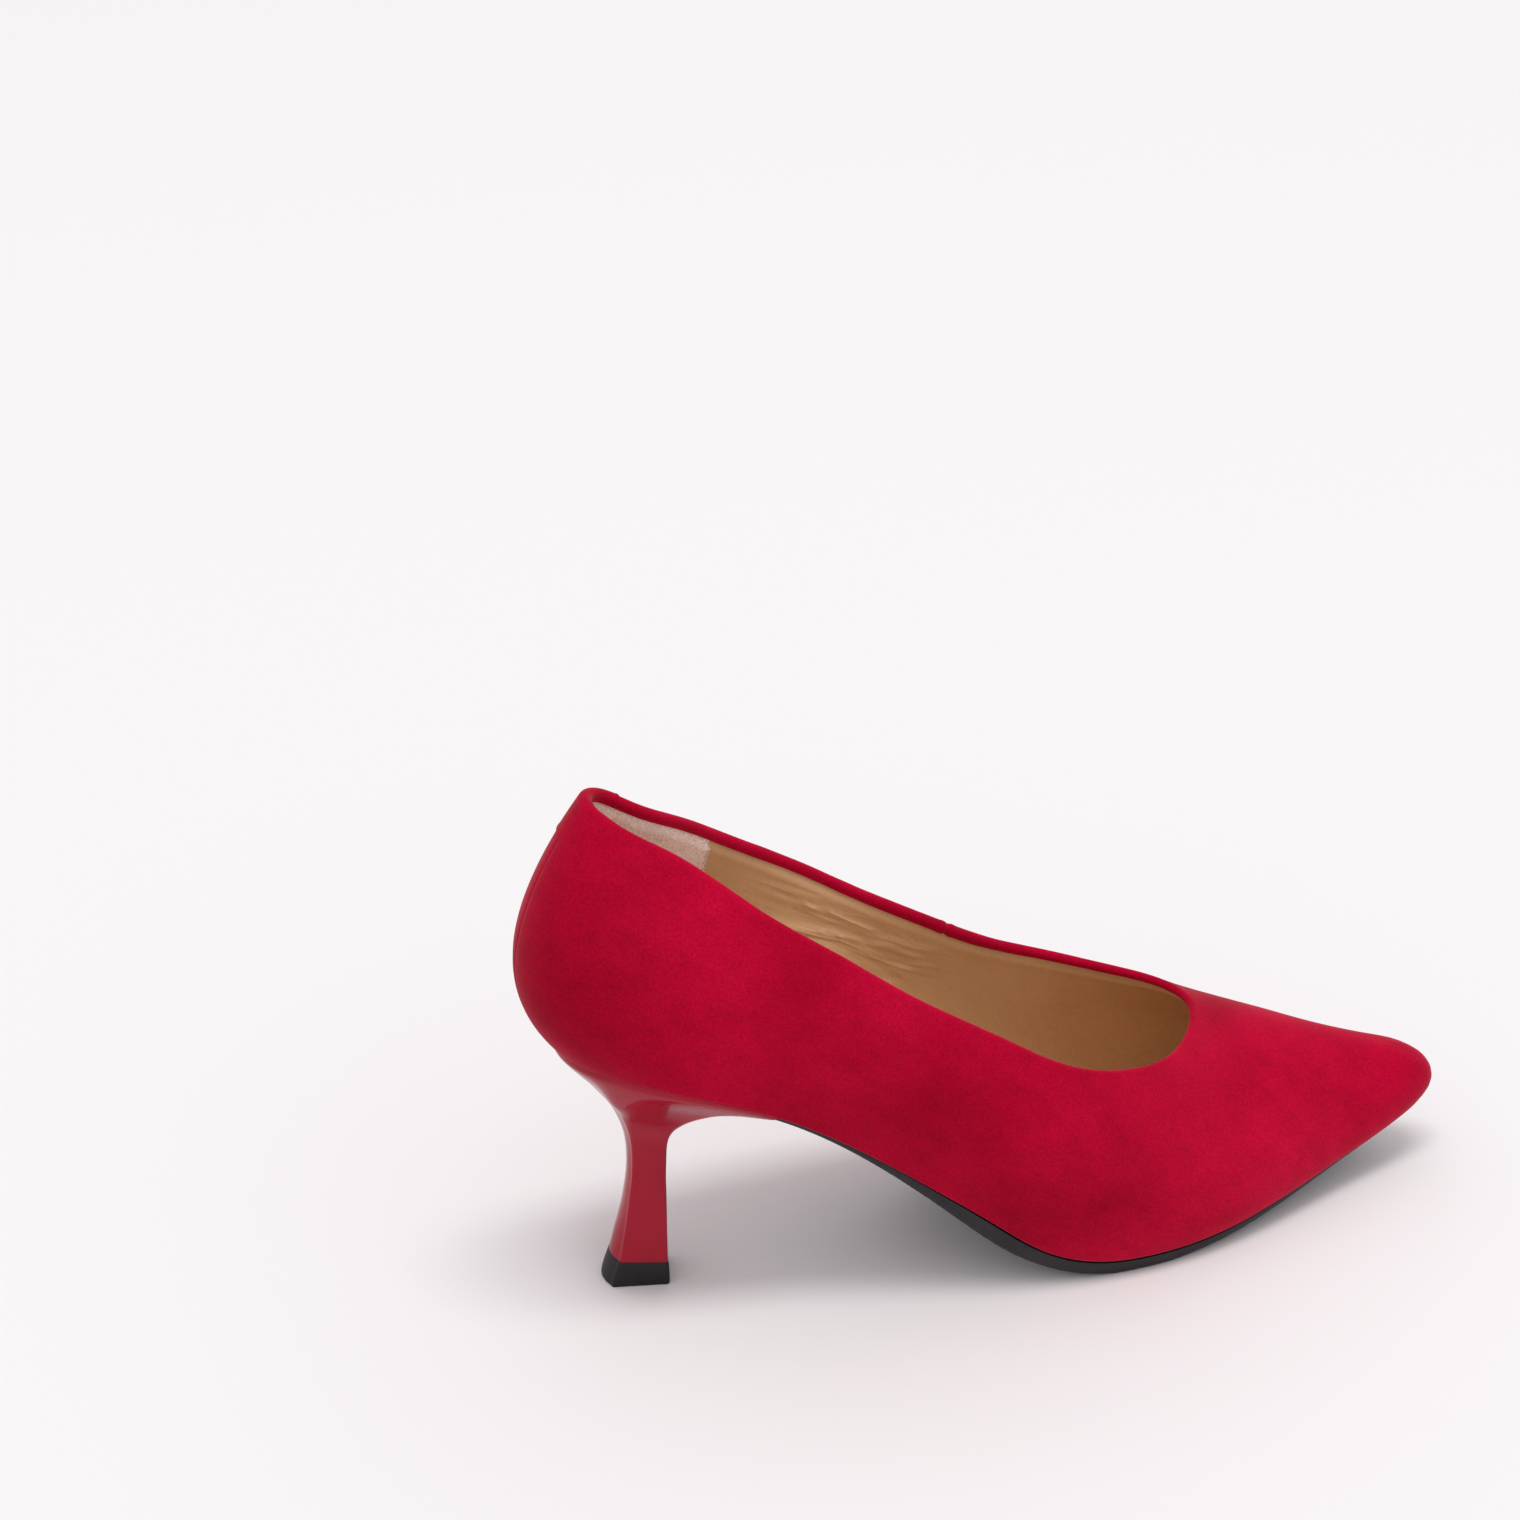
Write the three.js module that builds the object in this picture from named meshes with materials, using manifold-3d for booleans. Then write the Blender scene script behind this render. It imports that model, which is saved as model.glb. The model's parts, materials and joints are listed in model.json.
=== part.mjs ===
// High heel pump, right foot: suede upper, leather linings, board and shank bottom, black outsole,
// moulded heel with its steel tube, top piece and fasteners.
// Millimetres. X runs from heel to toe, Y to the inner (medial) side of the foot, Z up from the ground.
// The shape is worked out from a point on the ground under the middle of the heel tip. The finished
// group is then moved so that its origin is the middle of its box at ground level.

import * as THREE from 'three';
import Module from 'manifold-3d';

const wasm = await Module();
wasm.setup();

// ---------------------------------------------------------------- driving dimensions

// feather edge: the line where the upper meets the sole, seen from above
const BACK = [-19.5, 0];
const TIP = [210.5, 3.4];
const LATERAL_EDGE = [
  [-16.5, -10], [-9, -17.3], [2, -22.3], [15, -23.2], [29, -22.8], [50, -24.4], [72, -28],
  [91, -32.2], [108, -34.2], [124, -33.6], [143, -29.6], [165, -21], [185, -11.6], [200, -4.9],
];
const MEDIAL_EDGE = [
  [-16.5, 10], [-9, 17.3], [2, 21.6], [15, 22], [29, 20.6], [50, 19.6], [72, 23.6],
  [91, 30.4], [108, 35.6], [124, 37.2], [143, 34], [165, 26], [185, 17], [200, 10.6],
];

// height of the feather edge over the ground, by x
const FEATHER_HEIGHT = [
  [-21, 69.6], [-9, 68.2], [2, 65.6], [15, 60.8], [29, 54.4], [50, 42.2], [64, 32.6], [73, 26.2],
  [82, 19.6], [91, 12.8], [100, 7.8], [110, 5], [122, 4], [135, 4.1], [150, 5.1], [165, 6.9],
  [180, 9.1], [195, 11.8], [212, 15.6],
];

// ribs of the last: how far each leaves the feather edge outwards and upwards, and how far it
// reaches across and down from the ridge, all by the x of its foot
const FOOT_OUT = [
  [-21, 22], [-9, 16], [2, 10], [15, 8], [110, 8], [140, 7], [170, 5.5], [195, 5], [211, 5],
];
const FOOT_UP = {
  lateral: [[-21, 22], [0, 26], [50, 28], [90, 24], [120, 18], [150, 13], [180, 9.5], [211, 7]],
  medial: [[-21, 22], [0, 26], [50, 28], [90, 26], [120, 22], [150, 16], [180, 10.5], [211, 7]],
};
const RIDGE_SPAN = {
  lateral: [
    [-21, 35], [-14, 20], [-4, 10], [15, 22], [30, 32], [60, 46], [95, 50], [125, 42], [145, 31],
    [170, 18], [195, 10.5], [211, 11],
  ],
  medial: [
    [-21, 35], [-14, 20], [-4, 10], [15, 22], [30, 32], [60, 42], [95, 37], [125, 34], [145, 28],
    [170, 17], [195, 10.5], [211, 11],
  ],
};
const RIDGE_DROP = [
  [-21, 36], [0, 36], [30, 34], [60, 24], [90, 13], [120, 5], [140, 1], [155, 0], [211, 0],
];
// from here forward the ribs lean with the ridge's slope, fully so at the second x
const RIB_LEAN = [60, 120];

// the ridge over the foot: its x by the rib's foot, then its y and z by its own x;
// behind the throat it is only a guide above the opening
const RIDGE_X = [
  [-21, 10], [0, 15], [30, 38], [100, 101], [145, 146], [180, 177], [200, 193], [211, 200],
];
const RIDGE_Y = [[8, 0], [38, 1], [100, 5], [146, 7.5], [177, 5.5], [200, 4]];
const RIDGE_Z = [
  [8, 163], [38, 148], [70, 119], [101, 90], [125, 67], [146, 51.5], [166, 43.6], [185, 36.4],
  [200, 31.2],
];

// topline: the height at which the opening cuts the ribs, by x, down to the throat
const THROAT_X = 146;
const TOPLINE = [
  [-30, 140], [-10, 135.5], [0, 129.6], [13, 121], [29, 109.2], [45, 98.4], [60, 88], [76, 78],
  [87, 71.1], [96, 65.4], [104, 61.2], [115, 57], [126, 53.6], [136, 51.6], [THROAT_X, 51.5],
];
// every rib crosses the topline above this share of its length
const TOPLINE_OVER = 0.25;

// layers of the wall, measured inwards from the outer face; at the toe tip they are skived thinner
const UPPER = [0, 1.1];
const STIFFENER = [1.3, 1.9];
const TAPE = [1.3, 1.75];
const LINING = [2.1, 2.9];
const SKIVE = [[185, 1], [196, 0.9], [206, 0.6], [213, 0.45]];
const MARGIN_WIDTH = [[165, 8], [190, 5], [205, 2.4], [211, 2.2]];
const MARGIN_DEPTH = 0.5;
const SEAM_GAP = 0.0014;
const GRIP_GAP = 0.0024;
const THROAT_GAP = 0.4;

// points nearer than this are one point, in the wall's sheet and in the lofted pieces
const SHEET_WELD = 0.001;
const WELD = 0.02;

// stations along the shoe where the wall and the plates of the bottom share a bend, by x
const STATIONS = [
  -18.5, -16, -12, -6, 2, 12, 22, 32, 42, 52, 62, 71, 79, 86, 91, 95, 99, 103, 107, 112, 119, 127,
  136, 147, 159, 171, 182, 191, 198, 203, 207, 209.6,
];
const STATION_MARGIN = { wall: 3, plate: 1 };

// places of the seams, as fractions of the way from the back seam to the toe tip
const TAB_LENGTH = 0.075;
const TAB_END = TAB_LENGTH + SEAM_GAP;
const GRIP_LENGTH = 0.196;
const SIDE_SEAM = { foot: 0.308, top: 0.508 };
const COUNTER_LENGTH = 0.25;
const TAB_BENDS = [0.025, 0.05];
const GRIP_BENDS = [0.115, 0.155];

// x on the ridge: the rear edge of the toe puff, and the bends of the vamp in front of the throat
const PUFF_X = 170;
const VAMP_BENDS = [151, 157, 163, PUFF_X, 177, 184, 190, 195, 198.4];

// heights on the wall, as fractions of the way from the insole board to the topline
const TAB_FOOT = 0.87;
const WALL_GAP = 0.005;
const COUNTER_TOP = 0.7;
const TAPE_TOP = 0.985;
const BOARD_LINE = 3.6;

// flat pieces of the bottom: heights are over the feather line, insets are in from it
const BOARD = { bottom: 1.15, top: 2.9, inset: 1.6, joint: 92, gap: 0.3, end: 205 };
const SHANK = { bottom: -0.45, top: 0.65, start: -4, end: 98, half: 5, middle: -1 };
const FILLER = { bottom: -0.45, top: 0.65, inset: 8.8, start: 101, end: 172 };
const PAD = {
  inset: 4.2, gap: 0.2, height: 1.7, edge: 0.3, ramp: 12, heel: [-19.5, 46], forefoot: [98, 164],
};
const SOCK = { inset: 3.6, gap: 0.25, thickness: 0.8, end: 196 };
const SOLE_TOP = -0.8;
const SOLE_DROP = [
  [22, 2.6], [50, 2.7], [64, 3.8], [74, 5.2], [83, 6.2], [94, 5.2], [105, 4.5], [122, 4.3],
  [135, 3.6], [150, 3], [170, 2.5], [190, 2.1], [212, 1.9],
];
const BREAST = { lateral: 30, medial: 22 };
const BREAST_GAP = 0.5;
const SKEW_LENGTH = 20;
const SOLE_EDGE = { bottom: 1.3, side: 0.35, height: 0.4 };

// heel: cross-sections below the seat, from the seat to the top piece; back and front are x,
// half is the half width, bulge is how far the back face bows out between its corners, and turn is
// how far the section is turned about the tube's axis, in degrees
const HEEL_RIM = 0.6;
const HEEL_RIM_HEIGHT = { back: 1.3, lip: 0.5, lipX: 28 };
const HEEL_ROUND_X = -9;
const HEEL_SECTIONS = [
  { zBack: 59, zFront: 50.5, back: -11.7, front: 20, half: 14, corner: 5, bulge: 3, turn: -3 },
  { zBack: 50.5, zFront: 46.2, back: -5.8, front: 11.7, half: 8.6, corner: 2.6, bulge: 1.8, turn: -6 },
  { zBack: 42, zFront: 42, back: -2.5, front: 8.6, half: 5.8, corner: 1.2, bulge: 1.2, turn: -9 },
  { zBack: 33, zFront: 33, back: -1.7, front: 7.8, half: 4.6, corner: 0.7, bulge: 1, turn: -10 },
  { zBack: 22, zFront: 22, back: -2.9, front: 7.8, half: 5, corner: 0.6, bulge: 1.1, turn: -10 },
  { zBack: 12, zFront: 12, back: -5.2, front: 7.8, half: 5.9, corner: 0.6, bulge: 1.9, turn: -10 },
  { zBack: 7.4, zFront: 6.5, back: -6.3, front: 7.9, half: 6.3, corner: 0.7, bulge: 2.1, turn: -10 },
];
// rings between one section and the next, from the rim down
const HEEL_SPLITS = [1, 3, 3, 3, 2, 2, 2, 2];
const TOP_PIECE_SECTIONS = [
  { zBack: 7.1, zFront: 6.2, back: -6.4, front: 7.9, half: 6.3, corner: 0.7, bulge: 2.1, turn: -10 },
  { zBack: 0.5, zFront: 0.5, back: -8.3, front: 8.2, half: 6.7, corner: 0.7, bulge: 2, turn: -10 },
  { zBack: 0, zFront: 0, back: -8, front: 7.9, half: 6.4, corner: 0.7, bulge: 2, turn: -10 },
];

// metal in the heel and seat
const TUBE = { x: 2.9, bottom: 7.2, top: 46, radius: 2.1, bore: 1.35, clearance: 0.25 };
const PIN = { bottom: 1.6, top: 22, radius: 1.15, headRadius: 2.6, headHeight: 1 };
const SCREW = { x: 3, y: -0.5, length: 16, radius: 1.6, headRadius: 3.4, headHeight: 0.9 };
const NAIL = { length: 10, radius: 0.8, headRadius: 1.9, headHeight: 0.8 };
const NAIL_PLACES = [[-4, -7], [-4, 7], [10, -9], [10, 9]];
const RIVET = { radius: 1.5, headRadius: 2.8, headHeight: 0.8 };
const RIVET_PLACES = [26, 84];
const SHANK_REACH = 5;
const CLEARANCE = 0.2;
const HEAD_SINK = 0.1;
const POINT_LENGTH = 1.2;
const HOLE_MOUTH = 1.5;

// ---------------------------------------------------------------- splines

/** Solves a square system of linear equations with one or more right-hand columns. */
function solve(matrix, columns) {
  const rows = matrix.map((row, i) => [...row, ...columns[i]]);
  const size = rows.length;
  for (let i = 0; i < size; i++) {
    const pivot = rows[i][i];
    for (let k = i; k < rows[i].length; k++) rows[i][k] /= pivot;
    for (let j = 0; j < size; j++) {
      const factor = rows[j][i];
      if (j === i || factor === 0) continue;
      for (let k = i; k < rows[i].length; k++) rows[j][k] -= factor * rows[i][k];
    }
  }
  return rows.map((row) => row.slice(size));
}

/** A cubic spline's value between two knots, from the values and bends at both. */
function cubic(left, right, bendLeft, bendRight, toLeft, toRight) {
  const span = toLeft + toRight;
  return (bendLeft * toRight ** 3 + bendRight * toLeft ** 3) / (6 * span)
    + (left / span - (bendLeft * span) / 6) * toRight
    + (right / span - (bendRight * span) / 6) * toLeft;
}

/** Natural cubic spline through [x, y] points, held level beyond its ends. */
function curve(points) {
  const last = points.length - 1;
  const gap = (i) => points[i + 1][0] - points[i][0];
  const slope = (i) => (points[i + 1][1] - points[i][1]) / gap(i);
  const matrix = points.map(() => points.map(() => 0));
  const right = points.map(() => [0]);
  matrix[0][0] = 1;
  matrix[last][last] = 1;
  for (let i = 1; i < last; i++) {
    matrix[i][i - 1] = gap(i - 1);
    matrix[i][i] = 2 * (gap(i - 1) + gap(i));
    matrix[i][i + 1] = gap(i);
    right[i][0] = 6 * (slope(i) - slope(i - 1));
  }
  const bend = solve(matrix, right);
  return (x) => {
    const at = THREE.MathUtils.clamp(x, points[0][0], points[last][0]);
    let i = 0;
    while (i < last - 1 && at >= points[i + 1][0]) i++;
    const [a, b] = [points[i], points[i + 1]];
    return cubic(a[1], b[1], bend[i][0], bend[i + 1][0], at - a[0], b[0] - at);
  };
}

/** Straight lines through [x, y] points, held level beyond its ends. */
function polyline(points) {
  return (x) => {
    const next = points.findIndex(([px]) => px > x);
    if (next < 0) return points.at(-1)[1];
    if (next === 0) return points[0][1];
    const [a, b] = [points[next - 1], points[next]];
    return THREE.MathUtils.mapLinear(x, a[0], b[0], a[1], b[1]);
  };
}

/** Closed cubic spline through [x, y] points, by the distance along the chords between them. */
function closedCurve(points) {
  const count = points.length;
  const next = (i) => (i + 1) % count;
  const gap = points.map((p, i) => Math.hypot(points[next(i)][0] - p[0], points[next(i)][1] - p[1]));
  const knots = [0];
  gap.forEach((length) => knots.push(knots.at(-1) + length));
  const matrix = points.map(() => points.map(() => 0));
  const right = points.map(() => [0, 0]);
  points.forEach((p, i) => {
    const before = (i + count - 1) % count;
    matrix[i][before] += gap[before];
    matrix[i][i] += 2 * (gap[before] + gap[i]);
    matrix[i][next(i)] += gap[i];
    for (const k of [0, 1]) {
      const ahead = (points[next(i)][k] - p[k]) / gap[i];
      const behind = (p[k] - points[before][k]) / gap[before];
      right[i][k] = 6 * (ahead - behind);
    }
  });
  const bend = solve(matrix, right);
  const total = knots[count];
  const at = (distance) => {
    const s = ((distance % total) + total) % total;
    let i = 0;
    while (i < count - 1 && s >= knots[i + 1]) i++;
    const [toLeft, toRight] = [s - knots[i], knots[i + 1] - s];
    return [0, 1].map((k) => cubic(
      points[i][k], points[next(i)][k], bend[i][k], bend[next(i)][k], toLeft, toRight,
    ));
  };
  return { at, knots, total };
}

/** A height's rise over 1 mm of length at x. */
function slopeAt(height, x) {
  return height(x + 0.5) - height(x - 0.5);
}

/** The value between low and high at which a rising test turns true. */
function firstTrue(low, high, test) {
  for (let step = 0; step < 48; step++) {
    const middle = (low + high) / 2;
    if (test(middle)) high = middle;
    else low = middle;
  }
  return high;
}

// ---------------------------------------------------------------- the last's surface

const featherHeight = curve(FEATHER_HEIGHT);
const topline = curve(TOPLINE);
const footOut = curve(FOOT_OUT);
const ridgeDrop = curve(RIDGE_DROP);
const ridgeX = curve(RIDGE_X);
const ridgeY = curve(RIDGE_Y);
const ridgeZ = curve(RIDGE_Z);
const skive = polyline(SKIVE);
const marginWidth = polyline(MARGIN_WIDTH);
const outline = closedCurve([BACK, ...LATERAL_EDGE, TIP, ...MEDIAL_EDGE.toReversed()]);
const lateralReach = outline.knots[LATERAL_EDGE.length + 1];
const medialReach = lateralReach - outline.total;
const SIDES = {
  lateral: {
    footUp: curve(FOOT_UP.lateral), span: curve(RIDGE_SPAN.lateral), reach: lateralReach,
  },
  medial: {
    footUp: curve(FOOT_UP.medial), span: curve(RIDGE_SPAN.medial), reach: medialReach,
  },
};

/** A point of the feather edge and the outward direction there; u runs from back to toe tip. */
function feather(side, u) {
  const s = u * SIDES[side].reach;
  const step = 0.05;
  const [x, y] = outline.at(s);
  const [x0, y0] = outline.at(s - step);
  const [x1, y1] = outline.at(s + step);
  const length = Math.hypot(x1 - x0, y1 - y0);
  return { x, y, nx: (y1 - y0) / length, ny: (x0 - x1) / length };
}

/** The rib of the last that stands on the feather edge at u and ends on the ridge. */
function rib(side, u) {
  const foot = feather(side, u);
  const { x, y, nx, ny } = foot;
  const z = featherHeight(x);
  const out = footOut(x);
  const span = SIDES[side].span(x);
  const topX = ridgeX(x);
  const top = new THREE.Vector3(topX, ridgeY(topX), ridgeZ(topX));
  const lean = THREE.MathUtils.clamp(THREE.MathUtils.inverseLerp(...RIB_LEAN, x), 0, 1);
  const along = nx * span * slopeAt(ridgeZ, topX) * lean;
  const shoulder = new THREE.Vector3(nx * span, ny * span, along - ridgeDrop(x)).add(top);
  const low = new THREE.Vector3(x, y, z);
  const wall = new THREE.Vector3(x + nx * out, y + ny * out, z + SIDES[side].footUp(x));
  return { foot, line: new THREE.CubicBezierCurve3(low, wall, shoulder, top) };
}

/** The u of the rib whose ridge end is at x. */
function uAtRidge(side, x) {
  return firstTrue(0, 1, (u) => ridgeX(feather(side, u).x) >= x);
}

/** The u of the feather point at x. */
function uAtX(side, x) {
  return firstTrue(0, 1, (u) => feather(side, u).x >= x);
}

/** How far up its rib the topline is: 1 in front of the throat, where the rib meets the ridge. */
function toplineOn(line) {
  if (line.v3.x >= THROAT_X - 1e-6) return 1;
  return firstTrue(TOPLINE_OVER, 1, (v) => {
    const point = line.getPoint(v);
    return point.z > topline(point.x);
  });
}

// ---------------------------------------------------------------- the wall's grid

/**
 * Columns from the back seam to the toe tip; each gives its u at a height w on the wall.
 * A column with a gap closes a narrow strip of cells that parts two neighbouring pieces.
 */
function wallColumns(side) {
  const throat = uAtRidge(side, THROAT_X);
  const gripEnd = GRIP_LENGTH + GRIP_GAP;
  const seam = (w) => SIDE_SEAM.foot + (SIDE_SEAM.top - SIDE_SEAM.foot) * w;
  const fixed = (u, gap) => ({ gap, at: () => u });
  const toSeam = (part) => ({ at: (w) => THREE.MathUtils.lerp(gripEnd, seam(w), part) });
  const toThroat = (part, gap) => ({
    gap, at: (w) => THREE.MathUtils.lerp(seam(w) + SEAM_GAP, throat, part),
  });
  const onRidge = (x, gap) => fixed(uAtRidge(side, x), gap);
  const seamFoot = SIDE_SEAM.foot + SEAM_GAP;
  const first = feather(side, seamFoot).x + STATION_MARGIN.wall;
  const last = feather(side, throat).x - STATION_MARGIN.wall;
  const stations = STATIONS.filter((x) => x > first && x < last);
  return [
    fixed(0), fixed(SEAM_GAP, 'back'), ...TAB_BENDS.map((u) => fixed(u)),
    fixed(TAB_LENGTH), fixed(TAB_END, 'tab'), ...GRIP_BENDS.map((u) => fixed(u)),
    fixed(GRIP_LENGTH), fixed(gripEnd, 'grip'),
    toSeam(1 / 3), toSeam(2 / 3), toSeam(1), toThroat(0, 'seam'),
    ...stations.map((x) => toThroat((uAtX(side, x) - seamFoot) / (throat - seamFoot))),
    fixed(throat), onRidge(THROAT_X + THROAT_GAP, 'throat'),
    ...VAMP_BENDS.map((x) => onRidge(x)),
    fixed(1),
  ];
}

// how many gaps lie between the back seam and a cell, by the last gap passed
const ZONE = { back: 1, tab: 2, grip: 3, seam: 4, throat: 5 };

// rows from the inner edge of the lasting margin up to the topline or ridge; in front of the tab
// the row under its foot joins the row at its foot
const WALL_ROWS = [
  { margin: 1 }, { margin: 0.5 }, { margin: 0 },
  ...[0, 0.2, 0.38, 0.55, COUNTER_TOP].map((height) => ({ height })),
  { height: TAB_FOOT - WALL_GAP, ahead: TAB_FOOT },
  ...[TAB_FOOT, TAPE_TOP, 1].map((height) => ({ height })),
];

/** The point of the outer face where a column crosses a row. */
function wallPoint(side, column, row) {
  if (row.margin !== undefined) {
    const { x, y, nx, ny } = feather(side, column.at(0));
    const inset = marginWidth(x) * row.margin;
    const px = x - nx * inset;
    const drop = row.margin > 0 ? MARGIN_DEPTH : 0;
    return new THREE.Vector3(px, y - ny * inset, featherHeight(px) - drop);
  }
  const height = row.ahead && column.at(0) > TAB_END ? row.ahead : row.height;
  const { foot, line } = rib(side, column.at(height));
  const board = BOARD_LINE / (3 * SIDES[side].footUp(foot.x));
  return line.getPoint(THREE.MathUtils.lerp(board, toplineOn(line), height));
}

/** The whole outer face: welded points, their outward normals and the cells between them. */
function wallSheet() {
  const points = [];
  const known = new Map();
  const weld = (point) => {
    const key = point.toArray().map((value) => Math.round(value / SHEET_WELD)).join();
    if (!known.has(key)) {
      known.set(key, points.length);
      points.push(point);
    }
    return known.get(key);
  };
  const cells = [];
  for (const side of ['lateral', 'medial']) {
    const columns = wallColumns(side);
    const end = columns.length - 1;
    const grid = columns.map((column, i) => {
      const owner = i === 0 || i === end ? 'lateral' : side;
      return WALL_ROWS.map((row) => weld(wallPoint(owner, column, row)));
    });
    let zone = 0;
    for (let i = 1; i <= end; i++) {
      const { gap } = columns[i];
      const u = (columns[i - 1].at(0) + columns[i].at(0)) / 2;
      for (let j = 1; j < WALL_ROWS.length; j++) {
        const corners = [grid[i - 1][j - 1], grid[i][j - 1], grid[i][j], grid[i - 1][j]];
        if (side === 'medial') corners.reverse();
        const low = WALL_ROWS[j - 1].height ?? -1;
        cells.push({ side, corners, gap, zone, u, low, x: feather(side, u).x });
      }
      if (gap) zone++;
    }
  }
  const normals = points.map(() => new THREE.Vector3());
  for (const { corners } of cells) {
    const [a, b, c, d] = corners.map((index) => points[index]);
    const across = c.clone().sub(a);
    const normal = across.cross(d.clone().sub(b));
    corners.forEach((index) => normals[index].add(normal));
  }
  normals.forEach((normal) => normal.normalize());
  return { points, normals, cells };
}

// ---------------------------------------------------------------- closed solids

/** A geometry from points and triangles, without unused points or flat triangles, faces out. */
function solid(points, triangles) {
  const kept = triangles.filter(([a, b, c]) => a !== b && b !== c && c !== a);
  let volume = 0;
  for (const [a, b, c] of kept) volume += points[a].dot(points[b].clone().cross(points[c]));
  const order = new Map();
  const position = [];
  const index = [];
  for (const triangle of kept) {
    for (const corner of volume < 0 ? triangle.toReversed() : triangle) {
      if (!order.has(corner)) {
        order.set(corner, order.size);
        position.push(...points[corner].toArray());
      }
      index.push(order.get(corner));
    }
  }
  const geometry = new THREE.BufferGeometry();
  geometry.setAttribute('position', new THREE.Float32BufferAttribute(position, 3));
  geometry.setIndex(index);
  return geometry;
}

/** The part of a layer of the wall, between two depths, that covers the chosen cells. */
function layer(sheet, [outer, inner], chosen) {
  const count = sheet.points.length;
  const at = (depth) => sheet.points.map((point, i) => (
    point.clone().addScaledVector(sheet.normals[i], -depth * skive(point.x))
  ));
  const points = [...at(outer), ...at(inner)];
  const faces = [];
  for (const { corners: [a, b, c, d] } of sheet.cells.filter(chosen)) {
    faces.push([a, b, c], [a, c, d]);
  }
  const skin = faces.filter(([a, b, c]) => a !== b && b !== c && c !== a);
  const edges = new Set(skin.flatMap(([a, b, c]) => [`${a},${b}`, `${b},${c}`, `${c},${a}`]));
  const triangles = [...skin, ...skin.map((face) => face.map((corner) => corner + count).reverse())];
  for (const edge of edges) {
    const [a, b] = edge.split(',').map(Number);
    if (edges.has(`${b},${a}`)) continue;
    triangles.push([b, a, a + count], [b, a + count, b + count]);
  }
  return solid(points, triangles);
}

/** Joins points that are the same to WELD, so that collapsed rings close. */
function welded(points, triangles) {
  const first = new Map();
  const same = points.map((point, i) => {
    const key = point.toArray().map((value) => Math.round(value / WELD)).join();
    if (!first.has(key)) first.set(key, i);
    return first.get(key);
  });
  return solid(points, triangles.map((triangle) => triangle.map((corner) => same[corner])));
}

/** Skins a run of rings; cap lists the triangles that close a ring, as places on it. */
function loft(rings, cap) {
  const size = rings[0].length;
  const points = rings.flat();
  const triangles = [];
  for (let i = 1; i < rings.length; i++) {
    for (let j = 0; j < size; j++) {
      const k = (j + 1) % size;
      const [a, b] = [(i - 1) * size + j, (i - 1) * size + k];
      const [c, d] = [i * size + k, i * size + j];
      triangles.push([a, b, c], [a, c, d]);
    }
  }
  const last = (rings.length - 1) * size;
  triangles.push(...cap.map((face) => face.toReversed()));
  triangles.push(...cap.map((face) => face.map((j) => j + last)));
  return welded(points, triangles);
}

/** Triangles between the two halves of a ring that runs out along one edge and back along another. */
function ladder(size) {
  const faces = [];
  for (let low = 0, high = size - 1; high - low > 1; low++, high--) {
    faces.push([low, low + 1, high]);
    if (high - low > 2) faces.push([low + 1, high - 1, high]);
  }
  return faces;
}

/** A geometry of three's with its equal points joined and its faces out. */
function cleaned(geometry) {
  const { position } = geometry.attributes;
  const points = Array.from({ length: position.count }, (_, i) => (
    new THREE.Vector3().fromBufferAttribute(position, i)
  ));
  const corners = [...geometry.index.array];
  const triangles = [];
  for (let i = 0; i < corners.length; i += 3) triangles.push(corners.slice(i, i + 3));
  return welded(points, triangles);
}

/** A round piece about the Z axis, from [radius, z] points that start and end on the axis. */
function turned(profile, segments = 12) {
  const points = profile.map(([radius, z]) => new THREE.Vector2(radius, z));
  return cleaned(new THREE.LatheGeometry(points, segments).rotateX(Math.PI / 2));
}

function toManifold(geometry) {
  return new wasm.Manifold(new wasm.Mesh({
    numProp: 3,
    vertProperties: geometry.attributes.position.array,
    triVerts: Uint32Array.from(geometry.index.array),
  }));
}

/** A geometry with holes cut by others. */
function drilled(geometry, cutters) {
  const whole = toManifold(geometry);
  const mesh = cutters.reduce((rest, cutter) => rest.subtract(toManifold(cutter)), whole).getMesh();
  const result = new THREE.BufferGeometry();
  result.setAttribute('position', new THREE.Float32BufferAttribute(mesh.vertProperties, 3));
  result.setIndex([...mesh.triVerts]);
  return result;
}

// ---------------------------------------------------------------- flat pieces of the bottom

/** A point in from the feather edge at x. */
function insetPoint(side, x, inset) {
  const { x: px, y: py, nx, ny } = feather(side, uAtX(side, x));
  return [px - nx * inset, py - ny * inset];
}

/**
 * A plate that follows the feather line from one x to another; its levels go from its bottom face
 * to its top face. Its start is skewed back on the medial side.
 */
function plate(start, end, levels, skew = 0) {
  const across = 4;
  const { plate: margin } = STATION_MARGIN;
  const stations = [start, ...STATIONS.filter((x) => x > start + margin && x < end - margin), end];
  const rings = stations.map((station) => {
    const back = skew * Math.max(0, 1 - (station - start) / SKEW_LENGTH);
    const ring = [];
    levels.forEach(({ inset, z, edgeOnly }, level) => {
      const [lx, ly] = insetPoint('lateral', station, inset);
      const [mx, my] = insetPoint('medial', station - back, inset);
      const at = (share) => {
        const x = THREE.MathUtils.lerp(lx, mx, share);
        return new THREE.Vector3(x, THREE.MathUtils.lerp(ly, my, share), z(x));
      };
      if (edgeOnly) {
        ring.unshift(at(0));
        ring.push(at(1));
        return;
      }
      const row = Array.from({ length: across + 1 }, (_, j) => at(j / across));
      ring.push(...(level === 0 ? row : row.reverse()));
    });
    return ring;
  });
  return loft(rings, ladder(rings[0].length));
}

const over = (height) => (x) => featherHeight(x) + height;

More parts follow.
